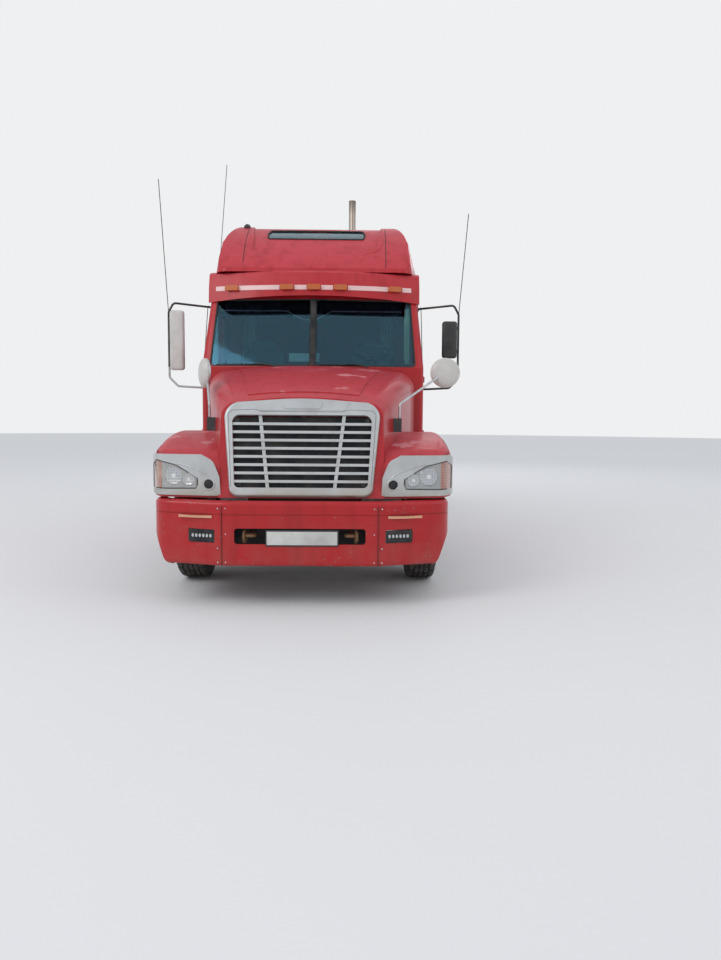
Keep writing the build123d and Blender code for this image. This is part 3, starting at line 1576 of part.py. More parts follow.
def build_wheels():
    """Knuckles, front wheels and the four twin wheels."""
    for name, side in (("left", 1), ("right", -1)):
        save(f"knuckle_{name}", knuckle(side))
        rim_part, tyre_part = front_wheel(side)
        save(f"front_rim_{name}", rim_part)
        save(f"front_tyre_{name}", tyre_part)
        for axle, station in zip(("mid", "rear"), REAR_AXLE_STATIONS):
            rims, tyres = dual_wheel(side, station)
            save(f"{axle}_rims_{name}", rims)
            save(f"{axle}_tyres_{name}", tyres)


build_chassis()
build_hood()
build_cab()
build_doors()
build_wheels()
save("fifth_wheel_plate", fifth_wheel_plate())
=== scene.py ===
import json
from math import cos, hypot, pi, radians, sin

import bpy
from mathutils import Matrix, Vector


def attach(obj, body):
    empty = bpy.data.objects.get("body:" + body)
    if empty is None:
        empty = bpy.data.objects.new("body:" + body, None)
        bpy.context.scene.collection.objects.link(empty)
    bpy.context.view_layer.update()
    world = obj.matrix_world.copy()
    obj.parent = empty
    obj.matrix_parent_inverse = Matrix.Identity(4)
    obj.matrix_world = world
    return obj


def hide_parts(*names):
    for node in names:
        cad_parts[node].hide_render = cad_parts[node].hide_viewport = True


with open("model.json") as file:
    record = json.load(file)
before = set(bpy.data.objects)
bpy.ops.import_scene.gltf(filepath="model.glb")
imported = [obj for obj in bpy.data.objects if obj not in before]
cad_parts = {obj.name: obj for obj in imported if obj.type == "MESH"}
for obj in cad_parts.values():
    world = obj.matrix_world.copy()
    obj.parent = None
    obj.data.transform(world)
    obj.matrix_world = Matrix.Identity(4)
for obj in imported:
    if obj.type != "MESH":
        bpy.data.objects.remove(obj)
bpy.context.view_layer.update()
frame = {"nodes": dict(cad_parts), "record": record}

LENGTH = 8.45
FRONT_AXLE = 1.22
REAR_AXLES = (6.5, 7.82)
AXLE_HEIGHT = 0.525
SIDES = (("left", 1), ("right", -1))
AHEAD = -7.0


def at(station):
    """Y of a station, which is measured rearward from the bumper's front."""
    return station - LENGTH / 2


def station_of(y):
    """Station of a Y."""
    return y + LENGTH / 2


# Finishes


def add_node(tree, kind, settings=None, values=None):
    """Any node of a tree: its settings first, then the values or links of its sockets."""
    made = tree.nodes.new(kind)
    for key, value in (settings or {}).items():
        setattr(made, key, value)
    for key, value in (values or {}).items():
        if isinstance(value, bpy.types.NodeSocket):
            tree.links.new(value, made.inputs[key])
        else:
            made.inputs[key].default_value = value
    return made


class Shade:
    """A socket of a finish. Arithmetic on it adds Math nodes."""

    def __init__(self, finish, socket):
        self.finish = finish
        self.socket = socket

    def outlet(self, key):
        """Another output of the same node."""
        return Shade(self.finish, self.socket.node.outputs[key])

    def maths(self, operation, first, second, clamp=False):
        settings = {"operation": operation, "use_clamp": clamp}
        return self.finish.node("ShaderNodeMath", settings, {0: first, 1: second})

    def __add__(self, other):
        return self.maths("ADD", self, other)

    __radd__ = __add__

    def __mul__(self, other):
        return self.maths("MULTIPLY", self, other)

    __rmul__ = __mul__

    def __sub__(self, other):
        return self.maths("SUBTRACT", self, other)

    def __rsub__(self, other):
        return self.maths("SUBTRACT", other, self)

    def __truediv__(self, other):
        return self.maths("DIVIDE", self, other)

    def __pow__(self, other):
        return self.maths("POWER", self, other)

    def __gt__(self, other):
        return self.maths("GREATER_THAN", self, other)

    def __lt__(self, other):
        return self.maths("LESS_THAN", self, other)

    def __abs__(self):
        return self.maths("ABSOLUTE", self, 0.0)

    def clamped(self):
        return self.maths("ADD", self, 0.0, clamp=True)

    def ramp(self, low, high):
        """0 below one value, 1 above the other and even between them."""
        return self.maths("MULTIPLY", self - low, 1 / (high - low), clamp=True)


CLEAR_LAYER = {"Roughness": 0.05, "IOR": 1.01, "Transmission Weight": 1.0}


class Finish:
    """A procedural material on a piece's own coordinates."""

    def __init__(self, name, roughness=0.5, metallic=0.0, **constants):
        self.material = bpy.data.materials.new(name)
        self.material.use_nodes = True
        self.tree = self.material.node_tree
        self.shader = self.tree.nodes["Principled BSDF"]
        self.shader.inputs["Roughness"].default_value = roughness
        self.shader.inputs["Metallic"].default_value = metallic
        for key, value in constants.items():
            self.shader.inputs[key.replace("_", " ")].default_value = value
        self.place = self.node("ShaderNodeTexCoord", output="Object")
        self.x, self.y, self.z = self.split(self.place)
        self.up = self.split(self.place.outlet("Normal"))[2]

    def node(self, kind, settings=None, values=None, output=0):
        """Any node of the finish, given by one of its outputs."""
        sockets = {}
        for key, value in (values or {}).items():
            sockets[key] = value.socket if isinstance(value, Shade) else value
        return Shade(self, add_node(self.tree, kind, settings, sockets).outputs[output])

    def split(self, vector):
        """The three parts of a vector."""
        first = self.node("ShaderNodeSeparateXYZ", None, {0: vector})
        return [first.outlet(index) for index in range(3)]

    def stretched(self, scale):
        """The place, stretched along the axes."""
        return self.node("ShaderNodeMapping", None, {"Vector": self.place, "Scale": scale})

    def noise(self, scale, detail=3.0, vector=None):
        values = {"Vector": vector or self.place, "Scale": scale, "Detail": detail}
        return self.node("ShaderNodeTexNoise", None, values)

    def cells(self, scale):
        """Distance from the nearest of many scattered points."""
        return self.node("ShaderNodeTexVoronoi", None, {"Vector": self.place, "Scale": scale})

    def wave(self, value, pitch):
        """A smooth wave along a value, from 0 to 1."""
        angle = value * (2 * pi / pitch)
        return self.node("ShaderNodeMath", {"operation": "SINE"}, {0: angle}) * 0.5 + 0.5

    def mix(self, share, first, second):
        """One colour laid over another by a share."""
        values = {"Factor": share, 6: first, 7: second}
        return self.node("ShaderNodeMix", {"data_type": "RGBA"}, values, output=2)

    def paint(self, socket, value):
        """Link what varies, or set what is the same all over."""
        if isinstance(value, Shade):
            self.tree.links.new(value.socket, self.shader.inputs[socket])
        else:
            self.shader.inputs[socket].default_value = value

    def relief(self, height, strength=0.3, distance=0.002):
        values = {"Height": height, "Strength": strength, "Distance": distance}
        self.paint("Normal", self.node("ShaderNodeBump", None, values))

    def overlay(self, share, colour):
        """Lay a clear, tinted layer without reflections over a share of the surface."""
        layer = self.node("ShaderNodeBsdfPrincipled", None, {"Base Color": colour, **CLEAR_LAYER})
        base = Shade(self, self.shader.outputs[0])
        both = self.node("ShaderNodeMixShader", None, {0: share, 1: base, 2: layer})
        self.tree.links.new(both.socket, self.tree.nodes["Material Output"].inputs["Surface"])


def rgb(red, green, blue):
    return (red, green, blue, 1.0)


RED = rgb(0.43, 0.006, 0.010)
RED_DEEP = rgb(0.25, 0.003, 0.005)
# This paler red also holds painted sky light, as it shows on faces that look up.
RED_FADED_AND_SKYLIT = rgb(0.55, 0.045, 0.065)
RED_CHALK = rgb(0.62, 0.24, 0.26)
DUST = rgb(0.27, 0.21, 0.16)
RUST = rgb(0.16, 0.055, 0.022)
BARE_METAL = rgb(0.20, 0.19, 0.18)


def red_finish(name, fade_and_skylight_weight=0.5, dust_top=0.9, chalk=0.0, chips=0.0):
    """Sun-faded red, pale where it faces up, partly from real fading and partly from painted sky light;
    dusty low down, chalky and chipped in places.
    """
    finish = Finish(name, roughness=0.3, Coat_Roughness=0.12, Specular_IOR_Level=0.28)
    cloud = finish.noise(1.3, 4.0)
    speck = finish.noise(38.0, 2.0)
    streak = finish.noise(3.0, 3.0, finish.stretched((4.0, 4.0, 0.35)))
    # Faces that look up turn paler: partly real fading, partly painted sky light.
    fade_and_skylight = (finish.up.ramp(0.05, 0.9) * 0.75 + cloud.ramp(0.35, 0.75) * 0.35) * fade_and_skylight_weight
    colour = finish.mix(fade_and_skylight.clamped(), RED, RED_FADED_AND_SKYLIT)
    colour = finish.mix(streak.ramp(0.48, 0.72) * 0.35, colour, RED_DEEP)
    peel = (finish.noise(4.2, 7.0) - 0.62) * finish.up.ramp(0.3, 0.7)
    peeled = peel.ramp(0.0, 0.03) * chalk
    colour = finish.mix(peeled, colour, RED_CHALK)
    low = 1 - finish.z.ramp(dust_top - 0.55, dust_top)
    dust = (low * 0.22 + 0.04) * finish.noise(7.0, 5.0).ramp(0.3, 0.75)
    colour = finish.mix(dust.clamped(), colour, DUST)
    chip = (finish.cells(26.0) < 0.11) * (finish.noise(4.5, 2.0) > 0.55) * chips
    colour = finish.mix(chip, colour, BARE_METAL)
    finish.paint("Base Color", colour)
    rough = 0.30 + fade_and_skylight * 0.22 + dust * 0.5 + peeled * 0.2 + speck * 0.06
    finish.paint("Roughness", rough.clamped())
    finish.paint("Coat Weight", (0.30 - fade_and_skylight * 0.2 - dust * 0.4 - peeled * 0.3).clamped())
    finish.relief(finish.noise(2.2, 2.0) * 4 + speck * 0.12 - chip * 0.6, 0.25, 0.003)
    return finish.material


SURROUND_END = 0.478
SURROUND_TOP = 1.190
SURROUND_ROUND = 0.095
SURROUND_FOOT = 0.845


def past_surround(finish):
    """1 behind the silver part of the lamps' surrounds, whose upper outer corner is round."""
    back = finish.y.ramp(at(SURROUND_END - SURROUND_ROUND), at(SURROUND_END))
    high = finish.z.ramp(SURROUND_TOP - SURROUND_ROUND, SURROUND_TOP)
    return (back ** 2.0 + high ** 2.0) > 0.995


def silver_finish(name, colour=rgb(0.56, 0.57, 0.57), metallic=0.55, red_end=False):
    """Silver-painted plastic with grey specks and dirt in the low places."""
    finish = Finish(name, roughness=0.36, metallic=metallic)
    stain = finish.noise(6.0, 5.0).ramp(0.42, 0.8)
    worn = finish.mix(stain * 0.45, colour, rgb(0.27, 0.27, 0.26))
    speck = finish.cells(60.0) < 0.12
    worn = finish.mix(speck * (finish.noise(9.0) > 0.6) * 0.7, worn, rgb(0.16, 0.14, 0.12))
    low = (1 - finish.z.ramp(0.86, 1.02)) * (finish.z > SURROUND_FOOT)
    low = low * finish.noise(5.0, 4.0).ramp(0.2, 0.7)
    worn = finish.mix(low * 0.7, worn, rgb(0.36, 0.31, 0.22))
    if red_end:
        red = past_surround(finish)
        worn = finish.mix(red, worn, RED)
        finish.paint("Metallic", metallic * (1 - red))
    finish.paint("Base Color", worn)
    finish.paint("Roughness", 0.3 + stain * 0.25)
    finish.relief(finish.noise(70.0, 2.0), 0.06, 0.001)
    return finish.material


def grime_finish(name, colour, rust=0.3, dust=0.4, metallic=0.0, roughness=0.6, dust_top=1.2):
    """Painted or cast metal under road dirt, with rust in patches."""
    finish = Finish(name, roughness=roughness, metallic=metallic)
    patch = (finish.noise(7.0, 6.0).ramp(0.5, 0.68) * rust).clamped()
    worn = finish.mix(patch, colour, RUST)
    low = (1 - finish.z.ramp(dust_top - 0.9, dust_top)) * 0.7 + finish.up.ramp(0.4, 0.9) * 0.5
    film = (low * finish.noise(4.0, 5.0).ramp(0.25, 0.7) * dust).clamped()
    finish.paint("Base Color", finish.mix(film, worn, DUST))
    finish.paint("Roughness", (roughness + film * 0.3 + patch * 0.25).clamped())
    finish.relief(finish.noise(60.0, 3.0) + patch, 0.35, 0.001)
    return finish.material


def brushed_finish(name, colour, grain, roughness=0.32, tread=False):
    """Bright metal with a brushed grain, dull stains and, for plates, a raised tread."""
    finish = Finish(name, roughness=roughness, metallic=0.95)
    lines = finish.noise(30.0, 2.0, finish.stretched(grain))
    stain = finish.noise(5.0, 5.0).ramp(0.4, 0.78)
    finish.paint("Base Color", finish.mix(stain * 0.55, colour, rgb(0.24, 0.23, 0.21)))
    finish.paint("Roughness", (roughness + lines * 0.12 + stain * 0.28).clamped())
    height = lines * 0.2
    if tread:
        height = height + finish.wave(finish.x + finish.y, 0.036) * finish.wave(finish.x - finish.y, 0.072)
    finish.relief(height, 0.35, 0.0015)
    return finish.material


def rubber_finish(name, colour=rgb(0.022, 0.022, 0.023), dust=0.45):
    """Black rubber, greyed by dust where dirt settles."""
    finish = Finish(name, roughness=0.75)
    film = (finish.noise(26.0, 6.0).ramp(0.3, 0.9) * 0.7 + 0.2) * dust
    finish.paint("Base Color", finish.mix(film, colour, rgb(0.17, 0.15, 0.125)))
    finish.paint("Roughness", (0.68 + film * 0.3).clamped())
    finish.relief(finish.noise(120.0, 2.0), 0.2, 0.0007)
    return finish.material


def plastic_finish(name, colour, roughness=0.5, grain=140.0, dust=0.25):
    """Moulded plastic with a fine grain and a film of dust."""
    finish = Finish(name, roughness=roughness)
    film = finish.noise(6.0, 4.0).ramp(0.4, 0.8) * dust
    finish.paint("Base Color", finish.mix(film, colour, rgb(0.22, 0.20, 0.17)))
    finish.paint("Roughness", (roughness + film * 0.3).clamped())
    finish.relief(finish.noise(grain, 1.0), 0.12, 0.0006)
    return finish.material


GLASS_TINT = rgb(0.34, 0.58, 0.66)
# Blue tint of the glass's reflections: a painted sky reflection.
PAINTED_SKY_TINT = rgb(0.17, 0.54, 0.82)
# Band of painted visor shade across the top of the windshield.
SHADE_TINT = rgb(0.30, 0.36, 0.46)
SHADE_EDGE = 2.530
SHADE_SOFT = 0.006
SHADE_CORNER = (-0.817, -1.0)
SHADE_LIFT = 0.13
SHADE_END = 0.950
WINDSHIELD_END = 2.3


def glass_finish(name, tint, dirt=0.25, roughness=0.03, shade=False):
    """Tinted glass with a thin film of dirt and, on the windshield, a band of painted visor shade at the
    top, darker and without reflections.
    """
    finish = Finish(name, roughness=roughness, Transmission_Weight=0.94, IOR=1.46, Specular_IOR_Level=0.35)
    # Reflections are tinted blue: a painted sky reflection.
    finish.paint("Specular Tint", PAINTED_SKY_TINT)
    film = finish.noise(3.0, 6.0).ramp(0.45, 0.85) * dirt
    finish.paint("Base Color", finish.mix(film, tint, rgb(0.42, 0.43, 0.40)))
    finish.paint("Roughness", (roughness + film * 0.45).clamped())
    if shade:
        finish.overlay(shade_band(finish), SHADE_TINT)
    return finish.material


def shade_band(finish):
    """1 in the band of painted visor shade, whose lower edge curves up at its right end."""
    lift = finish.x.ramp(*SHADE_CORNER) ** 2.0 * SHADE_LIFT
    height = finish.z - lift
    band = height.ramp(SHADE_EDGE - SHADE_SOFT, SHADE_EDGE + SHADE_SOFT)
    return band * (finish.x < SHADE_END) * (finish.y < at(WINDSHIELD_END))


def lens_finish(name, colour, ribs=0.0, glow=0.0):
    """Coloured lamp plastic with moulded ribs."""
    finish = Finish(name, roughness=0.18, Coat_Weight=0.5, Transmission_Weight=0.25)
    film = finish.noise(20.0, 3.0).ramp(0.45, 0.8) * 0.3
    finish.paint("Base Color", finish.mix(film, colour, rgb(0.35, 0.25, 0.20)))
    finish.paint("Roughness", (0.16 + film * 0.4).clamped())
    finish.relief(finish.wave(finish.x, 0.011) + ribs * finish.wave(finish.z, 0.011), 0.3, 0.001)
    if glow:
        finish.paint("Emission Strength", glow)
        finish.paint("Emission Color", colour)
    return finish.material


def fabric_finish(name, colour, second, pitch=0.012, stain=0.3):
    """Woven cloth with a fine check and some stains."""
    finish = Finish(name, roughness=0.9, Sheen_Weight=0.25)
    weave = finish.wave(finish.x + finish.z, pitch) * finish.wave(finish.y - finish.z, pitch)
    worn = finish.noise(6.0, 5.0).ramp(0.45, 0.8) * stain
    cloth = finish.mix(weave * 0.6, colour, second)
    finish.paint("Base Color", finish.mix(worn, cloth, rgb(0.11, 0.09, 0.07)))
    finish.relief(weave, 0.3, 0.001)
    return finish.material


SOOT_HEIGHTS = (4.3, 4.5)
MUFFLER_END = (2.2, 2.5)


def stack_finish(name):
    """Stack steel in streaks of painted sunlight, tan, over painted shade, grey, sooty at the top."""
    finish = Finish(name, roughness=0.4, metallic=0.85)
    # Tan streaks are painted sunlight, and the grey between them painted shade.
    painted_sunlight_streaks = finish.noise(3.0, 5.0, finish.stretched((6.0, 6.0, 0.6))).ramp(0.35, 0.7)
    colour = finish.mix(painted_sunlight_streaks, rgb(0.44, 0.42, 0.40), rgb(0.40, 0.30, 0.20))
    soot = finish.z.ramp(*SOOT_HEIGHTS) * 0.6
    rusty = finish.noise(9.0, 5.0).ramp(0.55, 0.7) * (1 - finish.z.ramp(*MUFFLER_END)) * 0.7
    colour = finish.mix(rusty.clamped(), finish.mix(soot, colour, rgb(0.05, 0.05, 0.05)), RUST)
    finish.paint("Base Color", colour)
    finish.paint("Roughness", (0.34 + rusty * 0.4 + soot * 0.3).clamped())
    finish.relief(finish.noise(50.0, 3.0), 0.15, 0.001)
    return finish.material


def greasy_finish(name):
    """Worn steel under dark grease, bright where the trailer's plate has rubbed."""
    finish = Finish(name, roughness=0.4, metallic=0.8)
    grease = finish.noise(4.0, 5.0).ramp(0.4, 0.62)
    scrape = finish.noise(9.0, 3.0, finish.stretched((8.0, 0.7, 1.0))).ramp(0.52, 0.6)
    colour = finish.mix(scrape, rgb(0.10, 0.075, 0.055), rgb(0.33, 0.31, 0.29))
    finish.paint("Base Color", finish.mix(grease, colour, rgb(0.018, 0.014, 0.010)))
    finish.paint("Roughness", (0.5 - grease * 0.28).clamped())
    finish.paint("Metallic", (0.85 - grease * 0.7).clamped())
    finish.relief(finish.noise(25.0, 4.0) + grease, 0.4, 0.002)
    return finish.material


# Distance from the middle, height and radius of each bowl.
LAMP_BOWLS = ((1.010, 1.020, 0.074), (0.888, 0.992, 0.052))
LAMP_MARKER_EDGE = 1.108
FOG_LAMP_EDGE = 0.775


def bowl_finish(name):
    """Headlamps: two facetted bowls, an amber marker at the outer end, dark fog lamps inboard."""
    finish = Finish(name, roughness=0.15, Coat_Weight=1.0, Coat_Roughness=0.05)
    across = abs(finish.x)
    inside = depth = bulb = finish.z * 0
    for x, z, radius in LAMP_BOWLS:
        reach = ((across - x) ** 2.0 + (finish.z - z) ** 2.0) ** 0.5 / radius
        bowl = 1 - reach.ramp(0.93, 1.0)
        inside = inside.maths("MAXIMUM", inside, bowl)
        depth = depth + reach * reach * bowl
        bulb = bulb + (1 - reach.ramp(0.20, 0.27))
    facets = finish.wave(finish.x, 0.022) * finish.wave(finish.z, 0.022)
    grey = finish.mix(facets * 0.45, rgb(0.52, 0.54, 0.56), rgb(0.20, 0.21, 0.22))
    colour = finish.mix(inside, rgb(0.36, 0.37, 0.37), grey)
    colour = finish.mix(bulb.clamped(), colour, rgb(0.70, 0.71, 0.70))
    marker = (across > LAMP_MARKER_EDGE) * 0.85
    ribs = finish.wave(finish.z, 0.022)
    amber = finish.mix(ribs * 0.5, rgb(0.36, 0.09, 0.045), rgb(0.46, 0.20, 0.13))
    colour = finish.mix(marker, colour, amber)
    fog = across < FOG_LAMP_EDGE
    colour = finish.mix(fog, colour, rgb(0.025, 0.03, 0.035))
    haze = finish.noise(8.0, 4.0).ramp(0.4, 0.75) * (0.15 + (finish.x < 0) * 0.35)
    colour = finish.mix(haze * (1 - fog), colour, rgb(0.55, 0.50, 0.38))
    finish.paint("Base Color", colour)
    finish.paint("Metallic", ((0.55 + inside * 0.3 - haze - marker - bulb) * (1 - fog)).clamped())
    finish.paint("Roughness", (0.16 + haze * 0.7).clamped())
    finish.relief(depth * 2.0 + facets * 0.3 + ribs * marker * 0.4, 0.5, 0.012)
    return finish.material


def two_tone_finish(name, bright, dark, edge):
    """Silver above an edge and black below it, as on rods in their feet."""
    finish = Finish(name, roughness=0.35)
    upper = finish.z > edge
    stain = finish.noise(30.0, 4.0).ramp(0.5, 0.75) * 0.5
    colour = finish.mix(upper, dark, bright)
    finish.paint("Base Color", finish.mix(stain, colour, rgb(0.14, 0.11, 0.09)))
    finish.paint("Metallic", (upper * 0.85 - stain).clamped())
    finish.paint("Roughness", (0.3 + stain * 0.5).clamped())
    finish.relief(finish.noise(90.0, 2.0), 0.1, 0.0006)
    return finish.material


def lower_arm_finish(name, bright, dark, height, side):
    """Black arms, with the lower arm of one side bare metal."""
    finish = Finish(name, roughness=0.42)
    lower = (finish.z < height) * ((finish.x * side) > 0)
    dust = finish.noise(8.0, 4.0).ramp(0.45, 0.8) * 0.3
    colour = finish.mix(lower, dark, bright)
    finish.paint("Base Color", finish.mix(dust, colour, DUST))
    finish.paint("Metallic", (lower * 0.8 - dust).clamped())
    finish.relief(finish.noise(120.0, 2.0), 0.12, 0.0006)
    return finish.material


FINISHES = {
    "red_paint": red_finish("red_paint_cab", fade_and_skylight_weight=0.55, dust_top=1.0, chips=0.3),
    "red_hood": red_finish("red_paint_hood", fade_and_skylight_weight=0.75, dust_top=1.1, chalk=0.8, chips=0.6),
    "red_bumper": red_finish("red_paint_bumper", fade_and_skylight_weight=0.2, dust_top=0.75, chips=1.0),
    "red_roof": red_finish("red_paint_roof", fade_and_skylight_weight=1.1, dust_top=0.9),
    "silver_trim": silver_finish("silver_trim"),
    "lamp_surround": silver_finish("lamp_surround", red_end=True),
    "frame_paint": grime_finish("frame_black", rgb(0.022, 0.022, 0.024), rust=0.5, dust=0.6),
    "cast_iron": grime_finish("cast_iron", rgb(0.055, 0.050, 0.046), rust=0.7, dust=0.6),
    "tank_aluminium": brushed_finish("tank_metal", rgb(0.62, 0.63, 0.64), (1.0, 12.0, 12.0)),
    "tread_plate": brushed_finish("tread_plate", rgb(0.52, 0.53, 0.53), (1.0, 1.0, 1.0), 0.42, tread=True),
    "stack_steel": stack_finish("stack_steel"),
    "wheel_steel": grime_finish(
        "wheel_silver", rgb(0.46, 0.46, 0.45), rust=0.45, dust=0.5, metallic=0.3, roughness=0.42
    ),
    "tyre": rubber_finish("tyre_rubber", dust=0.6),
    "black_plastic": plastic_finish("black_plastic", rgb(0.018, 0.018, 0.02), 0.42),
    "flap_rubber": rubber_finish("flap_rubber", rgb(0.02, 0.02, 0.02), 0.7),
    "glass": glass_finish("tinted_glass", GLASS_TINT, 0.05),
    "windshield_glass": glass_finish("windshield_glass", GLASS_TINT, 0.05, shade=True),
    "lamp_lens": glass_finish("clear_lens", rgb(0.86, 0.87, 0.84), 0.3, 0.06),
    "amber_lens": lens_finish("amber_lens", rgb(0.62, 0.14, 0.01), 1.0, 0.04),
    "red_lens": lens_finish("red_lens", rgb(0.50, 0.012, 0.012), 1.0, 0.03),
    "interior_plastic": plastic_finish("dash_plastic", rgb(0.085, 0.10, 0.10), 0.6, 90.0),
    "seat_fabric": fabric_finish("seat_cloth", rgb(0.10, 0.10, 0.12), rgb(0.19, 0.19, 0.22)),
    "fifth_wheel_steel": greasy_finish("coupling_steel"),
    "tow_brass": grime_finish("tow_hook_rust", rgb(0.20, 0.105, 0.045), rust=0.9, dust=0.4, metallic=0.3),
    "dark_seal": rubber_finish("window_seal", rgb(0.012, 0.012, 0.013), 0.25),
    "radiator_black": plastic_finish("radiator_black", rgb(0.008, 0.010, 0.014), 0.8, 60.0, 0.3),
    "plate_white": plastic_finish("plate_white", rgb(0.62, 0.62, 0.60), 0.45, 60.0, 0.5),
    "mirror_white": plastic_finish("mirror_cream", rgb(0.60, 0.58, 0.55), 0.38, 40.0, 0.45),
    "mirror_silver": silver_finish("mirror_glass", rgb(0.75, 0.77, 0.78), 0.97),
    "reflective_red": plastic_finish("reflective_strip", rgb(0.80, 0.55, 0.54), 0.35, 300.0, 0.2),
    "bright_steel": silver_finish("bright_steel", rgb(0.60, 0.61, 0.62), 0.95),
    "curtain": fabric_finish("curtain_cloth", rgb(0.62, 0.57, 0.46), rgb(0.70, 0.66, 0.55), 0.006),
    "pale_curtain": fabric_finish(
        "pale_curtain_cloth", rgb(0.97, 0.93, 0.68), rgb(0.90, 0.88, 0.66), 0.006, stain=0.1
    ),
    "valance": fabric_finish("valance_cloth", rgb(0.016, 0.016, 0.02), rgb(0.05, 0.045, 0.05), 0.008),
    "bedding": fabric_finish("bedding_cloth", rgb(0.20, 0.24, 0.33), rgb(0.30, 0.33, 0.40), 0.02),
    "lamp_bowls": bowl_finish("lamp_bowls"),
    "mirror_rods": two_tone_finish("mirror_rods", rgb(0.55, 0.56, 0.57), rgb(0.03, 0.03, 0.032), 1.482),
    "mirror_arms": lower_arm_finish("mirror_arms", rgb(0.50, 0.51, 0.52), rgb(0.018, 0.018, 0.02), 2.0, -1),
    "amber_strip": plastic_finish("amber_strip", rgb(0.70, 0.36, 0.22), 0.3, 200.0, 0.2),
    "led": plastic_finish("led_clear", rgb(0.50, 0.52, 0.53), 0.15, 200.0, 0.2),
    "fringe": fabric_finish("fringe_cord", rgb(0.80, 0.80, 0.80), rgb(0.88, 0.88, 0.88), 0.004),
    "hose_red": rubber_finish("hose_red", rgb(0.30, 0.03, 0.03), 0.4),
    "hose_blue": rubber_finish("hose_blue", rgb(0.02, 0.05, 0.22), 0.4),
}
NODE_FINISHES = {
    "hood_shell": "red_hood",
    "front_bumper": "red_bumper",
    "roof_fairing": "red_roof",
    "sun_visor": "red_roof",
    "deck_plate": "tread_plate",
    "radiator": "radiator_black",
    "cab_glass": "windshield_glass",
    "headlamp_surrounds": "lamp_surround",
    "hood_mirrors": "mirror_rods",
    "mirror_left": "mirror_arms",
    "mirror_right": "mirror_arms",
}


def dress_nodes():
    """Give every carried-over node its finish."""
    for row in frame["record"]["subparts"]:
        name = row["node"]
        node = frame["nodes"][name]
        finish = FINISHES[NODE_FINISHES.get(name, row["material_slot"])]
        node.data.materials.clear()
        node.data.materials.append(finish)


# Modelling new pieces


def choose(*pieces):
    """Select these pieces and nothing else."""
    bpy.ops.object.select_all(action="DESELECT")
    for piece in pieces:
        piece.select_set(True)
    bpy.context.view_layer.objects.active = pieces[0]


def settle(piece):
    """Put the piece's place and size into its mesh."""
    choose(piece)
    bpy.ops.object.transform_apply(location=True, rotation=True, scale=True)
    return piece


def edit(piece):
    """Go into edit mode with all of a piece selected."""
    choose(piece)
    bpy.ops.object.mode_set(mode="EDIT")
    bpy.ops.mesh.select_all(action="SELECT")


def leave_edit():
    bpy.ops.object.mode_set(mode="OBJECT")


def outward(piece):
    """Turn a piece's faces outward."""
    edit(piece)
    bpy.ops.mesh.normals_make_consistent(inside=False)
    leave_edit()
    return piece


def merged(piece, distance):
    """Merge a piece's corners that lie closer than a distance."""
    edit(piece)
    bpy.ops.mesh.remove_doubles(threshold=distance)
    leave_edit()
    return piece


def twin(piece, name=None):
    """A copy of a piece with its own mesh."""
    other = piece.copy()
    other.data = piece.data.copy()
    if name:
        other.name = name
    bpy.context.collection.objects.link(other)
    return other


def solid_copy(node, name):
    """A free copy of a carried-over node, its loose triangles merged."""
    piece = twin(frame["nodes"][node], name)
    piece.parent = None
    for key in list(piece.keys()):
        del piece[key]
    return merged(piece, 0.00002)


def finish_with(piece, kind, **settings):
    """Add a modifier to a piece and apply it."""
    choose(piece)
    modifier = piece.modifiers.new(kind.lower(), kind)
    for key, value in settings.items():
        setattr(modifier, key, value)
    bpy.ops.object.modifier_apply(modifier=modifier.name)
    return piece


def block(name, x, stations, z, bevel=0.0, segments=2):
    """A block between limits, with its edges rounded."""
    middle = ((x[0] + x[1]) / 2, at((stations[0] + stations[1]) / 2), (z[0] + z[1]) / 2)
    bpy.ops.mesh.primitive_cube_add(size=1, location=middle)
    piece = bpy.context.object
    piece.name = name
    piece.scale = (abs(x[1] - x[0]), stations[1] - stations[0], z[1] - z[0])
    settle(piece)
    if bevel:
        edit(piece)
        bpy.ops.mesh.bevel(offset=bevel, segments=segments, affect="EDGES")
        leave_edit()
    return piece


def side_block(name, side, x, stations, z, bevel=0.0, segments=2):
    """A block on one side of the truck."""
    return block(name, (side * x[0], side * x[1]), stations, z, bevel, segments)


def ring_of_points(name, points):
    """A closed line through points, started as a circle with as many corners."""
    bpy.ops.mesh.primitive_circle_add(vertices=len(points), radius=0.1, location=(0, 0, 0))
    piece = bpy.context.object
    piece.name = name
    for vertex, point in zip(piece.data.vertices, points):
        vertex.co = point
    return piece


def plate(name, points, push):
    """A flat outline in space, filled and pushed out to a thickness."""
    piece = ring_of_points(name, points)
    edit(piece)
    bpy.ops.mesh.edge_face_add()
    bpy.ops.mesh.extrude_region_move(TRANSFORM_OT_translate={"value": push})
    leave_edit()
    return outward(piece)


def turned(name, profile, steps=48):
    """A closed profile of (along, radius) spun about the X axis."""
    piece = ring_of_points(name, [(along, 0, radius) for along, radius in profile])
    edit(piece)
    bpy.ops.mesh.spin(steps=steps, angle=2 * pi, center=(0, 0, 0), axis=(1, 0, 0))
    leave_edit()
    return outward(merged(piece, 0.00005))


def move(piece, place, turn=(0, 0, 0), size=(1, 1, 1)):
    """Bring a piece to its place, with the turn in degrees."""
    piece.location = place
    piece.rotation_euler = [radians(angle) for angle in turn]
    piece.scale = size
    return settle(piece)


def mirrored(piece, name):
    """The other side's copy of a piece."""
    other = twin(piece, name)
    other.scale = (-1, 1, 1)
    return outward(settle(other))


def repeated(piece, moves):
    """Copies of a piece, each moved by a matrix, joined to it as one."""
    copies = [piece]
    for matrix in moves:
        other = twin(piece)
        other.data.transform(matrix)
        copies.append(other)
    return joined(piece.name, copies)


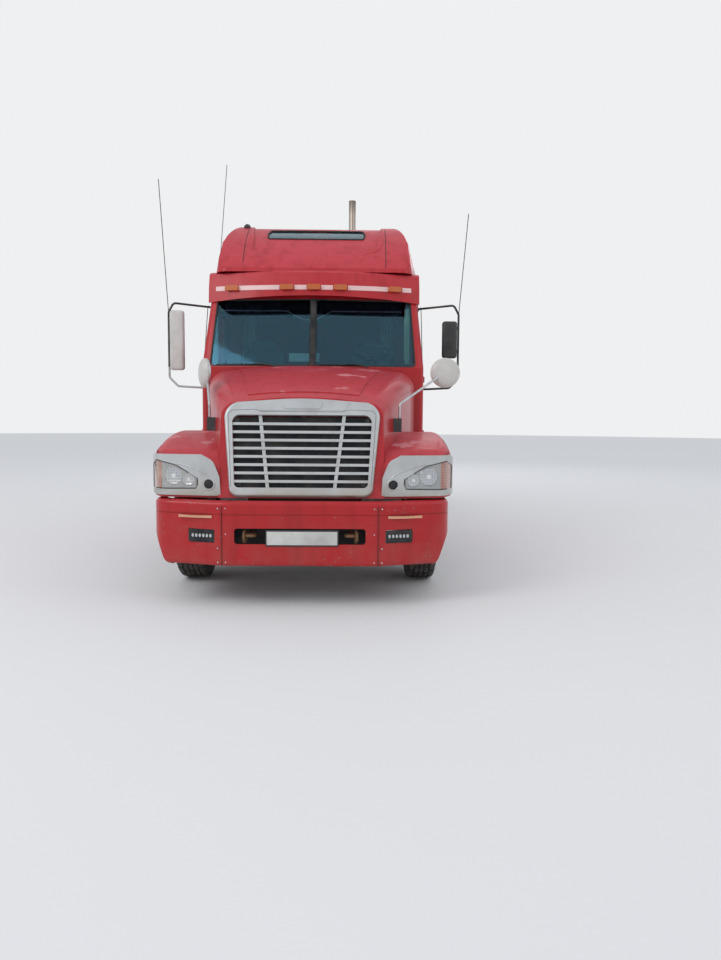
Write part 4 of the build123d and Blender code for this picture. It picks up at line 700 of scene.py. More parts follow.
def around(piece, count):
    """A piece repeated evenly round the X axis."""
    return repeated(piece, [Matrix.Rotation(2 * pi * index / count, 4, "X") for index in range(1, count)])


def joined(name, parts):
    """Several shapes as one piece."""
    choose(*parts)
    if len(parts) > 1:
        bpy.ops.object.join()
    piece = bpy.context.object
    piece.name = name
    return piece


def softened(points, bend):
    """A route with its corners rounded."""
    route = [Vector(points[0])]
    for before, here, after in zip(points, points[1:], points[2:]):
        before, here, after = Vector(before), Vector(here), Vector(after)
        start = here + (before - here).normalized() * bend
        end = here + (after - here).normalized() * bend
        for share in (0, 0.25, 0.5, 0.75, 1):
            first = start.lerp(here, share)
            second = here.lerp(end, share)
            route.append(first.lerp(second, share))
    route.append(Vector(points[-1]))
    return route


def rod(name, points, radius, bend=0.0, resolution=3):
    """A round bar through points, each (x, station, z)."""
    places = [(x, at(station), z) for x, station, z in points]
    route = softened(places, bend) if bend else [Vector(place) for place in places]
    line = bpy.data.curves.new(name, "CURVE")
    line.dimensions = "3D"
    line.bevel_depth = radius
    line.bevel_resolution = resolution
    line.use_fill_caps = True
    spline = line.splines.new("POLY")
    spline.points.add(len(route) - 1)
    for point, place in zip(spline.points, route):
        point.co = (*place, 1.0)
    piece = bpy.data.objects.new(name, line)
    bpy.context.collection.objects.link(piece)
    choose(piece)
    bpy.ops.object.convert(target="MESH")
    return bpy.context.object


def handed(piece, body, slot, finish=None, angle=35, replaces=()):
    """Smooth a finished piece, paint it and give it to its body."""
    settle(piece)
    piece.data.materials.clear()
    piece.data.materials.append(FINISHES[finish or slot])
    bpy.ops.object.shade_smooth_by_angle(angle=radians(angle))
    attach(piece, body)
    if replaces:
        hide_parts(*replaces)
    return piece


# Places on the solids


def hit(solid, origin, direction):
    """Place and normal where a ray first meets a solid, or None for both."""
    found, place, normal = solid.ray_cast(Vector(origin), Vector(direction))[:3]
    return (place, normal) if found else (None, None)


def from_ahead(solid, x, z):
    """Place and normal where a solid is met from ahead."""
    return hit(solid, (x, AHEAD, z), (0, 1, 0))


def skin(node, x, z):
    """Station where a carried-over node is met from ahead."""
    place = from_ahead(frame["nodes"][node], x, z)[0]
    return None if place is None else station_of(place.y)


def seat_on(piece, node, x, z):
    """Turn a piece's X axis to the surface it sits on and bring it there."""
    place, normal = from_ahead(frame["nodes"][node], x, z)
    piece.matrix_world = Matrix.Translation(place) @ normal.to_track_quat("X", "Z").to_matrix().to_4x4()
    return settle(piece)


# Wheels


RIM_OUTER = 0.286
TYRE_OUTER = 0.523
TYRE_HALF = 0.136
TREAD_HALF = 0.108
TREAD_STEPS = 104
TREAD_REACH = 0.5195
TREAD_CUT = 0.008
DISC_WALL = 0.009
HAND_HOLES = 8
NUT_CIRCLE = 0.1675
NUT_COUNT = 10


def tyre_profile():
    """Bead, sidewall with its rim guard, shoulder and a tread with four grooves."""
    side = [
        (0.098, 0.287), (0.112, 0.300), (0.124, 0.330), (0.130, 0.338), (0.1295, 0.345),
        (0.134, 0.372), (TYRE_HALF, 0.412), (0.1335, 0.452), (0.130, 0.458), (0.1265, 0.478),
        (0.120, 0.506), (TREAD_HALF, 0.519),
    ]
    tread = [(0.100, TYRE_OUTER)]
    for middle in (0.066, 0.022):
        tread += [
            (middle + 0.006, TYRE_OUTER), (middle + 0.004, TYRE_OUTER - 0.012),
            (middle - 0.004, TYRE_OUTER - 0.012), (middle - 0.006, TYRE_OUTER),
        ]
    half = side + tread
    other = [(-along, radius) for along, radius in reversed(half)]
    return half + other + [(-0.098, 0.296), (0.098, 0.296)]


def treaded_tyre(name):
    """A spun tyre with its tread blocks cut by pushing narrow strips of the tread inward."""
    tyre = turned(name, tyre_profile(), TREAD_STEPS)
    edit(tyre)
    bpy.ops.mesh.select_all(action="DESELECT")
    bpy.ops.mesh.select_mode(type="FACE")
    leave_edit()
    # One step in four cuts the outer blocks, and the step halfway on cuts the inner ones.
    for face in tyre.data.polygons:
        centre = face.center
        reach = hypot(centre.y, centre.z)
        turn = (Vector((centre.y, centre.z)).angle_signed(Vector((0, 1))) + 2 * pi) % (2 * pi)
        step = int(turn / (2 * pi) * TREAD_STEPS) % 4
        outer = abs(centre.x) > 0.072 and reach > TREAD_REACH
        shoulder = 0.109 < abs(centre.x) < 0.125 and reach > 0.49
        inner = abs(centre.x) < 0.06 and reach > TREAD_REACH
        face.select = (step == 0 and (outer or shoulder)) or (step == 2 and inner)
    bpy.ops.object.mode_set(mode="EDIT")
    bpy.ops.mesh.extrude_region_shrink_fatten(TRANSFORM_OT_shrink_fatten={"value": -TREAD_CUT})
    bpy.ops.mesh.select_all(action="SELECT")
    leave_edit()
    return tyre


def wheel_disc_profile(dish):
    """The pressed disc and the rim with its flanges, as one closed section."""
    flange = RIM_OUTER + 0.003
    back = [
        (-0.120, RIM_OUTER), (-0.120, 0.277), (-0.098, 0.272), (-0.060, 0.268), (0.060, 0.268),
        (dish * 0.45, 0.262), (dish * 0.72, 0.244), (dish * 0.95, 0.205), (dish, 0.186), (dish, 0.075),
    ]
    face = [(dish, 0.075), (dish, 0.190), (dish * 0.95, 0.210), (dish * 0.73, 0.250)]
    front = [(along + DISC_WALL, radius) for along, radius in face]
    rim = [
        (0.098, 0.272), (0.120, 0.277), (0.120, RIM_OUTER), (0.112, flange), (0.104, 0.288),
        (0.060, 0.280), (-0.060, 0.280), (-0.104, 0.288), (-0.112, flange),
    ]
    return back + front + rim


def hub_profile(start, end):
    """A hub that steps down to a domed cap."""
    return [
        (start, 0.0), (start, 0.112), (end - 0.05, 0.112), (end - 0.045, 0.106), (end - 0.04, 0.088),
        (end - 0.012, 0.080), (end - 0.004, 0.066), (end, 0.030), (end, 0.0),
    ]


def hand_holes(dish):
    """Round cutters for the holes of the disc."""
    bpy.ops.mesh.primitive_cylinder_add(vertices=20, radius=0.024, depth=0.16)
    cutter = move(bpy.context.object, (dish * 0.8, 0, 0.226), (0, 90, 0))
    return around(cutter, HAND_HOLES)


def wheel_nut(along):
    """A flanged nut on its stud."""
    bpy.ops.mesh.primitive_cylinder_add(vertices=6, radius=0.0165, depth=0.022)
    nut = bpy.context.object
    edit(nut)
    bpy.ops.mesh.bevel(offset=0.003, segments=1, affect="EDGES")
    leave_edit()
    move(nut, (along + 0.012, 0, NUT_CIRCLE), (0, 90, 0))
    bpy.ops.mesh.primitive_cylinder_add(vertices=10, radius=0.009, depth=0.02)
    stud = move(bpy.context.object, (along + 0.03, 0, NUT_CIRCLE), (0, 90, 0))
    return joined("wheel_nut", [nut, stud])


def wheel(name, dish, hub_start, hub_end):
    """A disc wheel with hand holes, nuts and its hub."""
    disc = turned(name, wheel_disc_profile(dish), 64)
    holes = hand_holes(dish)
    finish_with(disc, "BOOLEAN", object=holes, operation="DIFFERENCE", solver="EXACT")
    bpy.data.objects.remove(holes)
    hub = turned("hub", hub_profile(hub_start, hub_end), 40)
    nuts = around(wheel_nut(dish + DISC_WALL), NUT_COUNT)
    return joined(name, [disc, hub, nuts])


def placed_copy(piece, name, place, side):
    """A wheel or tyre copied to its place, turned to face outward on its side."""
    return move(twin(piece, name), place, (0, 0, 0 if side > 0 else 180))


FRONT_TRACK = 1.03
TWIN_TRACKS = (1.095, 0.765)
# The disc's dish, then the start and end of the hub.
FRONT_WHEEL = (0.100, -0.12, 0.178)
REAR_WHEEL = (-0.100, -0.24, 0.035)


def build_wheels():
    """Front wheels and twin wheels with their tyres."""
    tyre = treaded_tyre("tyre_model")
    front = wheel("front_wheel_model", *FRONT_WHEEL)
    inset = wheel("rear_wheel_model", *REAR_WHEEL)
    for name, side in SIDES:
        place = (side * FRONT_TRACK, at(FRONT_AXLE), AXLE_HEIGHT)
        body = f"front_wheel_{name}"
        rim = placed_copy(front, f"front_wheel_disc_{name}", place, side)
        handed(rim, body, "wheel_steel", replaces=[f"front_rim_{name}"])
        rubber = placed_copy(tyre, f"front_tread_{name}", place, side)
        handed(rubber, body, "tyre", replaces=[f"front_tyre_{name}"])
        for axle, station in zip(("mid", "rear"), REAR_AXLES):
            outer, inner = [(side * track, at(station), AXLE_HEIGHT) for track in TWIN_TRACKS]
            body = f"{axle}_wheels_{name}"
            discs = [placed_copy(inset, "disc", outer, side), placed_copy(front, "disc", inner, side)]
            pair = joined(f"{axle}_wheel_discs_{name}", discs)
            handed(pair, body, "wheel_steel", replaces=[f"{axle}_rims_{name}"])
            tyres = [placed_copy(tyre, "tyre", place, side) for place in (outer, inner)]
            pair = joined(f"{axle}_treads_{name}", tyres)
            handed(pair, body, "tyre", replaces=[f"{axle}_tyres_{name}"])
    for model in (tyre, front, inset):
        bpy.data.objects.remove(model)


# Front


LED_COUNT = 6
LED_PROFILE = [(0, 0), (0, 0.010), (0.005, 0.009), (0.008, 0.0)]
TOW_BAR, TOW_LOOP = 0.012, 0.043
REFLECTOR_LINE = [(0.682, 0.0225), (0.815, 0.0475), (0.952, 0.090)]
LAMP_FACE_LINE = [(0.667, 0.027), (0.873, 0.074)]
BUMPER_BOLTS = ((0.575, 0.78), (0.635, 0.78), (0.575, 0.36), (0.635, 0.36), (0.575, 0.58), (0.635, 0.47))


def upright(line, z, side):
    """An upright outline over a line of (x, station) between two heights, on one side."""
    foot = [(side * x, at(station), z[0]) for x, station in line]
    head = [(side * x, at(station), z[1]) for x, station in reversed(line)]
    return foot + head


def build_bumper_trim():
    """Radiator guard, a near-black plate that stands for the radiator's foot and the shade in the bumper's
    opening, then blank plate, seams, bolts, reflective strips, running lamps and tow loops.
    """
    # Near-black plate behind the bumper's opening: the radiator's foot, and painted shade inside the
    # opening.
    guard = block("radiator_guard_and_shade", (-0.56, 0.56), (0.215, 0.222), (0.42, 0.70), 0.002)
    handed(guard, "chassis", "black_plastic", "radiator_black")
    border = block("plate_frame", (-0.266, 0.299), (-0.008, 0.004), (0.488, 0.615), 0.003)
    handed(border, "chassis", "black_plastic")
    card = block("plate_blank", (-0.256, 0.289), (-0.0095, -0.004), (0.499, 0.604), 0.002)
    handed(card, "chassis", "silver_trim", "plate_white")
    for name, side in SIDES:
        seam = side_block(f"bumper_seam_{name}", side, (0.604, 0.607), (-0.001, 0.03), (0.335, 0.80))
        handed(seam, "chassis", "black_plastic", "dark_seal")
        outline = upright(REFLECTOR_LINE, (0.704, 0.724), side)
        strip = plate(f"bumper_reflector_{name}", outline, (0, -0.006, 0))
        handed(strip, "chassis", "amber_lens", "amber_strip")
        outline = upright(LAMP_FACE_LINE, (0.515, 0.609), side)
        face = plate(f"running_lamp_face_{name}", outline, (0, 0.004, 0))
        handed(face, "chassis", "black_plastic", "radiator_black")
        lights = []
        for index in range(LED_COUNT):
            share = (index + 0.5) / LED_COUNT
            place = (side * (0.680 + 0.172 * share), at(0.0275 + 0.042 * share), 0.564)
            lights.append(move(turned("led", LED_PROFILE, 14), place, (0, 0, -90 + side * 13), (1, 1, 1.5)))
        handed(joined(f"running_lamp_leds_{name}", lights), "chassis", "lamp_lens", "led")
        corners = [index * pi / 4 for index in range(8)]
        section = [(TOW_BAR * cos(turn), TOW_LOOP + TOW_BAR * sin(turn)) for turn in corners]
        hook = turned(f"tow_loop_{name}", section, 24)
        move(hook, (side * 0.434, at(0.060), 0.556), (0, 0, 20 * side), (1, 0.55, 1))
        handed(hook, "chassis", "tow_brass")
        bolts = []
        for x, z in BUMPER_BOLTS:
            bpy.ops.mesh.primitive_uv_sphere_add(segments=10, ring_count=6, radius=0.0065)
            bolts.append(move(bpy.context.object, (side * x, at(0.004), z), size=(1, 0.6, 1)))
        handed(joined(f"bumper_bolts_{name}", bolts), "chassis", "silver_trim", "bright_steel")


FACE_LEAN = radians(15)
FACE_FOOT = Vector((0, at(0.125), 0.849))


def on_face(x, height, lift):
    """A place on the leaning nose face: across, up it and off it."""
    up = Vector((0, sin(FACE_LEAN), cos(FACE_LEAN)))
    out = Vector((0, -cos(FACE_LEAN), sin(FACE_LEAN)))
    return FACE_FOOT + Vector((x, 0, 0)) + up * height + out * lift


def face_plate(name, outline, lift, thickness):
    """An outline on the nose face as (across, up), raised to a thickness."""
    push = on_face(0, 0, thickness) - on_face(0, 0, 0)
    return plate(name, [on_face(x, height, lift) for x, height in outline], push)


def oval(half, height, middle, count=24):
    """A long round outline: two half circles joined by straights."""
    radius = height / 2
    points = []
    for index in range(count):
        angle = 2 * pi * index / count + pi / count
        shift = (half - radius) if cos(angle) > 0 else -(half - radius)
        points.append((shift + radius * cos(angle), middle + radius * sin(angle)))
    return points


SCREEN = [(-0.52, 0.082), (0.52, 0.082), (0.556, 0.664), (-0.556, 0.664)]
SEAM_LIFT = 0.0338
SURROUND_SEAM = [
    (0.0, 0.694), (0.325, 0.694), (0.372, 0.712), (0.560, 0.704), (0.590, 0.676), (0.575, 0.450),
    (0.549, 0.085),
]


def build_grille():
    """The dark screen behind the bars, the bare badge, the surround's seam and the corner brackets."""
    screen = face_plate("grille_screen", SCREEN, -0.024, 0.004)
    handed(screen, "hood", "black_plastic", "radiator_black")
    badge = face_plate("badge_bare", oval(0.140, 0.050, 0.752), 0.0425, 0.004)
    handed(badge, "hood", "silver_trim", "bright_steel")
    seams = []
    for side in (1, -1):
        points = [on_face(side * x, height, SEAM_LIFT) for x, height in SURROUND_SEAM]
        route = [(place.x, station_of(place.y), place.z) for place in points]
        seams.append(rod("seam", route, 0.0016, 0.012, 1))
    handed(joined("grille_seam", seams), "hood", "black_plastic", "dark_seal")
    brackets = []
    for side in (1, -1):
        for x, foot in ((0.475, 0.098), (0.505, 0.600)):
            corners = [(x, foot), (x + 0.04, foot), (x + 0.04, foot + 0.05), (x, foot + 0.05)]
            outline = [(side * across, height) for across, height in corners]
            brackets.append(face_plate("bracket", outline, -0.018, 0.014))
    handed(joined("grille_brackets", brackets), "hood", "black_plastic")


FOG_LAMP = (0.724, 0.956)
FOG_RING = [(0, 0.037), (0, 0.050), (0.004, 0.050), (0.007, 0.047), (0.007, 0.040), (0.004, 0.037)]
FOG_GLASS = [(0, 0.0), (0, 0.034), (0.002, 0.033), (0.005, 0.020), (0.006, 0.0)]
GASKET_LINE = [
    (1.205, 1.112), (1.160, 1.142), (1.08, 1.125), (0.985, 1.102), (0.90, 1.052), (0.815, 1.000),
    (0.812, 0.96), (0.830, 0.922), (1.0, 0.918), (1.205, 0.915),
]
RIDGE_LINE = [
    (0.700, 0.985), (0.720, 1.020), (0.775, 1.056), (0.845, 1.082), (0.92, 1.105), (0.985, 1.122),
]


def build_lamps():
    """Reflector bowls under a clear cover, side markers and fog lamps, for both headlamps."""
    bowls = solid_copy("headlamp_lenses", "headlamp_bowls")
    x, z = FOG_LAMP
    for name, side in SIDES:
        ring = turned(f"fog_ring_{name}", FOG_RING, 32)
        seat_on(ring, "headlamp_lenses", side * x, z)
        handed(ring, "hood", "silver_trim")
        glass = turned(f"fog_glass_{name}", FOG_GLASS, 24)
        seat_on(glass, "headlamp_lenses", side * x, z)
        handed(glass, "hood", "lamp_lens", "radiator_black")
        gasket = rod(f"headlamp_gasket_{name}", lamp_line(side, GASKET_LINE, 0.0005), 0.0035, 0, 2)
        handed(gasket, "hood", "black_plastic", "dark_seal")
        ridge = rod(f"headlamp_ridge_{name}", lamp_line(side, RIDGE_LINE, -0.003), 0.0075, 0, 3)
        handed(ridge, "hood", "silver_trim", angle=60)
    handed(bowls, "hood", "lamp_lens", "lamp_bowls", 25, replaces=["headlamp_lenses"])


LAMP_LINE_STEPS = 5


def lamp_line(side, corners, lift):
    """A line over the lamp corner through (across, height) points, just off whichever skin is in front."""
    route = []
    for first, second in zip(corners, corners[1:]):
        for index in range(LAMP_LINE_STEPS):
            share = index / LAMP_LINE_STEPS
            x = first[0] + (second[0] - first[0]) * share
            z = first[1] + (second[1] - first[1]) * share
            met = [skin(node, side * x, z) for node in ("headlamp_lenses", "headlamp_surrounds")]
            met = [station for station in met if station]
            if met:
                route.append((side * x, min(met) - lift, z))
    return route


EDGE_STATIONS = (0.26, 1.755)
EDGE_ROUND = 0.105
EDGE_TURN = (-8, 98)
EDGE_COLUMNS, EDGE_ROWS = 46, 16
CAP_WALL = 0.004
CAP_INSET = 0.0025
CAP_OVERLAP = 0.0018
CAP_REACH = 0.012


def hood_hit(origin, direction):
    """Place and normal where a ray first meets the hood."""
    return hit(frame["nodes"]["hood_shell"], origin, direction)


def edge_frame(station):
    """Corner of the left fender at a station, with its outward and upward normals."""
    # The top is met inboard of the slot, and the side a little below the top.
    top, up = hood_hit((1.05, at(station), 1.6), (0, 0, -1))
    outside, out = hood_hit((3.0, at(station), top.z - 0.15), (-1, 0, 0))
    out = Vector((out.x, out.y, 0)).normalized()
    up = Vector((0, up.y, up.z)).normalized()
    return Vector((outside.x, at(station), top.z)), out, up


def build_fender_edges():
    """Rounded caps that close the outer top edges of both fenders."""
    bpy.ops.mesh.primitive_grid_add(x_subdivisions=EDGE_COLUMNS, y_subdivisions=EDGE_ROWS, size=1)
    cap = bpy.context.object
    cap.name = "fender_edge_left"
    start, end = EDGE_STATIONS
    frames = {}
    for vertex in cap.data.vertices:
        column = round((vertex.co.x + 0.5) * EDGE_COLUMNS)
        turn = radians(EDGE_TURN[0] + (EDGE_TURN[1] - EDGE_TURN[0]) * (vertex.co.y + 0.5))
        if column not in frames:
            frames[column] = edge_frame(start + (end - start) * column / EDGE_COLUMNS)
        corner, out, up = frames[column]
        centre = corner - (out + up) * EDGE_ROUND
        ray = (out * cos(turn) + up * sin(turn)).normalized()
        place = centre + ray * (EDGE_ROUND - CAP_INSET)
        met = hood_hit(place + ray * 0.15, -ray)[0]
        if met is not None and abs((met - place).dot(ray)) < CAP_REACH:
            place = met - ray * CAP_OVERLAP
        vertex.co = place
    finish_with(cap, "SOLIDIFY", thickness=CAP_WALL, offset=-1)
    outward(cap)
    for piece in (cap, mirrored(cap, "fender_edge_right")):
        handed(piece, "hood", "red_paint", "red_hood", 60)


WINDSHIELD_FOOT, WINDSHIELD_HEAD = 2.0, 2.70
PANE_LOW, PANE_HIGH = 2.04, 2.64
PANE_LEAN = 0.39
GLASS_EDGE = [
    (0.5, 1.999), (1.041, 1.999), (1.022, 2.35), (1.003, 2.696), (0.5, 2.696), (0.024, 2.696),
    (0.024, 1.999), (0.5, 1.999),
]
# Start and end of each blade, then the pivot of its arm.
WIPERS = ((-0.98, -0.42, -0.36), (0.06, 0.50, 0.56))
DIVIDER_HALF = 0.023


def pane_height(z):
    """The nearest height that surely is glass."""
    return max(PANE_LOW, min(PANE_HIGH, z))


def pane(x, z):
    """Station of the windshield, taken at the nearest place that surely is glass."""
    half = 1.0 - 0.03 * (z - WINDSHIELD_FOOT) / (WINDSHIELD_HEAD - WINDSHIELD_FOOT)
    inside = max(0.06, min(half, abs(x)))
    side = 1 if x >= 0 else -1
    return skin("cab_glass", side * inside, pane_height(z))


def divider_line(z, near):
    """Y of the divider's back at a height, carried along the glass from a height that is met."""
    return at(skin("cab_shell", 0, near) + (z - near) * PANE_LEAN - 0.003)


def build_windshield():
    """Divider, seals, wipers, the fringed valance, the strip of curtain and a paper on the dash."""
    front = divider_line(WINDSHIELD_FOOT, 2.06)
    back = divider_line(WINDSHIELD_HEAD, 2.60)
    outline = [
        (-DIVIDER_HALF, front, WINDSHIELD_FOOT), (DIVIDER_HALF, front, WINDSHIELD_FOOT),
        (DIVIDER_HALF, back, WINDSHIELD_HEAD), (-DIVIDER_HALF, back, WINDSHIELD_HEAD),
    ]
    divider = plate("windshield_divider", outline, (0, -0.007, 0))
    handed(divider, "chassis", "black_plastic", "radiator_black")
    seals = []
    for side in (1, -1):
        route = []
        for x, z in GLASS_EDGE:
            station = pane(side * x, z) + (z - pane_height(z)) * PANE_LEAN - 0.002
            route.append((side * x, station, z))
        seals.append(rod("seal", route, 0.010, 0.04, 2))
    handed(joined("windshield_seals", seals), "chassis", "black_plastic", "dark_seal")
    wipers = []
    for start, end, pivot in WIPERS:
        middle = (start + end) / 2
        blade = [(x, pane(x, PANE_LOW) - 0.024, 2.012 + 0.006 * (x - start)) for x in (start, middle, end)]
        wipers.append(rod("wiper_blade", blade, 0.007, 0, 1))
        elbow = ((pivot + middle) / 2, pane(middle, PANE_LOW) - 0.05, 2.020)
        arm = [(pivot, pane(pivot, PANE_LOW) - 0.05, 1.992), elbow, blade[1]]
        wipers.append(rod("wiper_arm", arm, 0.0055, 0.05, 2))
    handed(joined("wipers", wipers), "chassis", "black_plastic")
    build_valance()
    strip = hung_cloth("curtain_strip_left", (0.943, 1.00), 2.198, (2.05, 2.62), 3, 0.009)
    handed(strip, "chassis", "seat_fabric", "pale_curtain", 60)
    outline = [
        (-0.245, at(1.96), 2.05), (0.065, at(1.96), 2.05),
        (0.065, at(1.985), 2.135), (-0.245, at(1.985), 2.135),
    ]
    card = plate("dash_paper", outline, (0, 0.002, 0))
    handed(card, "chassis", "interior_plastic", "plate_white")


def hung_cloth(name, x, station, z, folds, depth, rows=10):
    """A cloth hung in even folds between two X limits, at one station."""
    columns = folds * 8
    bpy.ops.mesh.primitive_grid_add(x_subdivisions=columns, y_subdivisions=rows, size=1)
    cloth = bpy.context.object
    cloth.name = name
    for vertex in cloth.data.vertices:
        across, up = vertex.co.x + 0.5, vertex.co.y + 0.5
        fold = sin(across * folds * 2 * pi) * depth * (1.15 - 0.4 * up)
        vertex.co = (x[0] + (x[1] - x[0]) * across, at(station) + fold, z[0] + (z[1] - z[0]) * up)
    return cloth


VALANCE_LOOP = (-0.28, 0.18)
VALANCE_TOP = 2.715
VALANCE_DROP = 0.175
FRINGE_STEPS = 90


def dip(x):
    """How far the valance's middle loop hangs at a place across it."""
    share = (x - VALANCE_LOOP[0]) / (VALANCE_LOOP[1] - VALANCE_LOOP[0])
    return 0.09 * sin(pi * share) if 0 < share < 1 else 0.0


def build_valance():
    """The dark cloth along the top of the windshield, with its pale fringe and looped middle."""
    heights = (VALANCE_TOP - VALANCE_DROP, VALANCE_TOP)
    cloth = hung_cloth("windshield_valance", (-0.97, 0.92), 2.212, heights, 16, 0.006, 6)
    for vertex in cloth.data.vertices:
        share = (VALANCE_TOP - vertex.co.z) / VALANCE_DROP
        vertex.co.z -= dip(vertex.co.x) * share
    handed(cloth, "chassis", "seat_fabric", "valance", 60)
    route = []
    for index in range(FRINGE_STEPS + 1):
        x = -0.96 + 1.87 * index / FRINGE_STEPS
        route.append((x, 2.200, 2.590 - dip(x) + (0.006 if index % 2 else -0.006)))
    fringe = rod("valance_fringe", route, 0.0032, 0, 1)
    handed(fringe, "chassis", "seat_fabric", "fringe")


STRIP_STEPS = 5
STRIP_SPANS = (
    (-1.018, -0.922), (-0.772, -0.348), (-0.194, -0.070), (0.079, 0.200), (0.352, 0.764), (0.916, 1.010),
)


def build_visor_trim():
    """Reflective strips between the marker lamps."""
    strips = []
    for start, end in STRIP_SPANS:
        edge = [start + (end - start) * index / STRIP_STEPS for index in range(STRIP_STEPS + 1)]
        for first, second in zip(edge, edge[1:]):
            corners = [(first, 2.782), (second, 2.782), (second, 2.829), (first, 2.829)]
            places = [(x, at(skin("sun_visor", x, z) + 0.002), z) for x, z in corners]
            strips.append(plate("strip", places, (0, -0.005, 0)))
    handed(joined("visor_reflectors", strips), "chassis", "red_lens", "reflective_red")


ROOF_DRAW_IN = 0.075


def smooth_step(value, low, high):
    """0 to 1 between two values, eased at both ends."""
    share = max(0.0, min(1.0, (value - low) / (high - low)))
    return share * share * (3 - 2 * share)


def build_roof():
    """The fairing with its front corners drawn in, more so towards the crest."""
    roof = solid_copy("roof_fairing", "roof_skin")
    for vertex in roof.data.vertices:
        x, y, z = vertex.co
        front = 1 - smooth_step(station_of(y), 2.45, 3.45)
        high = smooth_step(z, 2.95, 3.42)
        drawn = ROOF_DRAW_IN * front * high * min(1.0, abs(x)) ** 2
        vertex.co.x -= drawn if x > 0 else -drawn
    return roof


def roof_point(roof, x, z, lift):
    """A place just off the roof's front, met from ahead."""
    place, normal = from_ahead(roof, x, z)
    place = place + normal * lift
    return (place.x, station_of(place.y), place.z)


ROOF_WINDOW = [(0.51516, 3.415), (0.532656, 3.49), (0.51516, 3.562)]
ROOF_MOULDING = [
    (-0.725, 3.58), (-0.722, 3.50), (-0.71, 3.40), (-0.685, 3.30), (-0.64, 3.235), (-0.56, 3.20),
    (-0.40, 3.192), (0, 3.19), (0.40, 3.19), (0.52, 3.195), (0.62, 3.225), (0.69, 3.28), (0.715, 3.36),
    (0.722, 3.46), (0.725, 3.58),
]
WHIP_ROUTE = [(-1.099, 2.95, 3.02), (-1.099, 2.90, 3.227), (-1.012, 2.90, 4.290)]
SEAM_TOP = 3.60
SEAM_STEPS = 11


def build_roof_trim():
    """Seal of the roof's window, the panel's seams and moulding, the small horn and a whip."""
    roof = build_roof()
    bpy.context.view_layer.update()
    middle_foot, middle_head = (0.0, 3.415), (0.0, 3.568)
    other_side = [(-x, z) for x, z in reversed(ROOF_WINDOW)]
    outline = [middle_foot, *ROOF_WINDOW, middle_head, *other_side, middle_foot]
    seal = rod("roof_window_seal", [roof_point(roof, x, z, 0.004) for x, z in outline], 0.009, 0.03, 2)
    seams = []
    for side, foot in ((-1, 3.09), (1, 3.03)):
        route = []
        for index in range(SEAM_STEPS + 1):
            share = index / SEAM_STEPS
            x = side * (0.742 + 0.018 * share)
            route.append(roof_point(roof, x, foot + (SEAM_TOP - foot) * share, 0.0005))
        seams.append(rod("roof_seam", route, 0.0035, 0, 1))
    edge = rod("roof_moulding", [roof_point(roof, x, z, -0.004) for x, z in ROOF_MOULDING], 0.011, 0, 3)
    place = hit(roof, (-0.80, at(3.0), 6), (0, 0, -1))[0]
    bpy.ops.mesh.primitive_uv_sphere_add(segments=20, ring_count=12, radius=0.04)
    horn = move(bpy.context.object, place, (0, 0, 0), (1.0, 1.6, 0.95))
    stem = rod("stem", [(-0.78, 3.04, place.z + 0.012), (-0.70, 3.30, place.z + 0.008)], 0.006, 0, 2)
    handed(roof, "chassis", "red_paint", "red_roof", 30, replaces=["roof_fairing"])
    finish_with(roof, "WEIGHTED_NORMAL", mode="FACE_AREA", weight=100, keep_sharp=True)
    handed(seal, "chassis", "black_plastic", "dark_seal")
    handed(joined("roof_seams", seams), "chassis", "black_plastic", "dark_seal")
    handed(edge, "chassis", "red_paint", "red_roof", 60)
    handed(joined("roof_horn", [horn, stem]), "chassis", "black_plastic")
    whip = rod("whip_second", WHIP_ROUTE, 0.0035, 0.03, 1)
    base = block("whip_base", (-1.125, -1.075), (2.93, 2.99), (2.96, 3.03), 0.006)
    handed(joined("whip_second", [whip, base]), "chassis", "black_plastic")


# Mirrors


MIRROR_HEADS = (
    ("left", (1.338, 1.486), (2.112, 2.486), "black_plastic"),
    ("right", (-1.488, -1.346), (1.968, 2.574), "mirror_white"),
)
HOOD_MIRRORS = (("left", (1.209, at(0.852), 1.879), -90), ("right", (-0.880, at(0.860), 1.862), -156))
MIRROR_BACK = [(0, 0), (0, 0.128), (0.010, 0.130), (0.030, 0.118), (0.046, 0.085), (0.052, 0.0)]


def build_mirrors():
    """Housings and faces of the door mirrors, and the backs of the hood's round ones."""
    for name, (x0, x1), (foot, head), finish in MIRROR_HEADS:
        body = f"door_{name}"
        limits = (x0 - 0.004, x1 + 0.004), (2.102, 2.175), (foot - 0.004, head + 0.004)
        handed(block(f"mirror_shell_{name}", *limits, 0.030, 4), body, "black_plastic", finish)
        limits = (x0 + 0.010, x1 - 0.010), (2.192, 2.197), (foot + 0.02, head - 0.02)
        handed(block(f"mirror_face_{name}", *limits, 0.002), body, "silver_trim", "mirror_silver")
    for name, place, turn in HOOD_MIRRORS:
        disc = move(turned(f"hood_mirror_back_{name}", MIRROR_BACK, 40), place, (0, 0, turn))
        handed(disc, "hood", "black_plastic", "mirror_white")


# Inside


def cushion(name, x, stations, z, puff=0.03):
    """A stuffed block: rounded, with a soft swell."""
    piece = block(name, x, stations, z)
    edit(piece)
    bpy.ops.mesh.subdivide(number_cuts=3)
    leave_edit()
    finish_with(piece, "SUBSURF", levels=2, render_levels=2)
    corner = Vector([min(v.co[i] for v in piece.data.vertices) for i in range(3)])
    opposite = Vector([max(v.co[i] for v in piece.data.vertices) for i in range(3)])
    middle, half = (corner + opposite) / 2, (opposite - corner) / 2
    for vertex in piece.data.vertices:
        share = [(vertex.co[i] - middle[i]) / half[i] for i in range(3)]
        swell = (1 - share[0] ** 2) * (1 - share[1] ** 2)
        if abs(share[2]) > 0.8:
            vertex.co.z += puff * swell * (1 if share[2] > 0 else -0.3)
    return piece


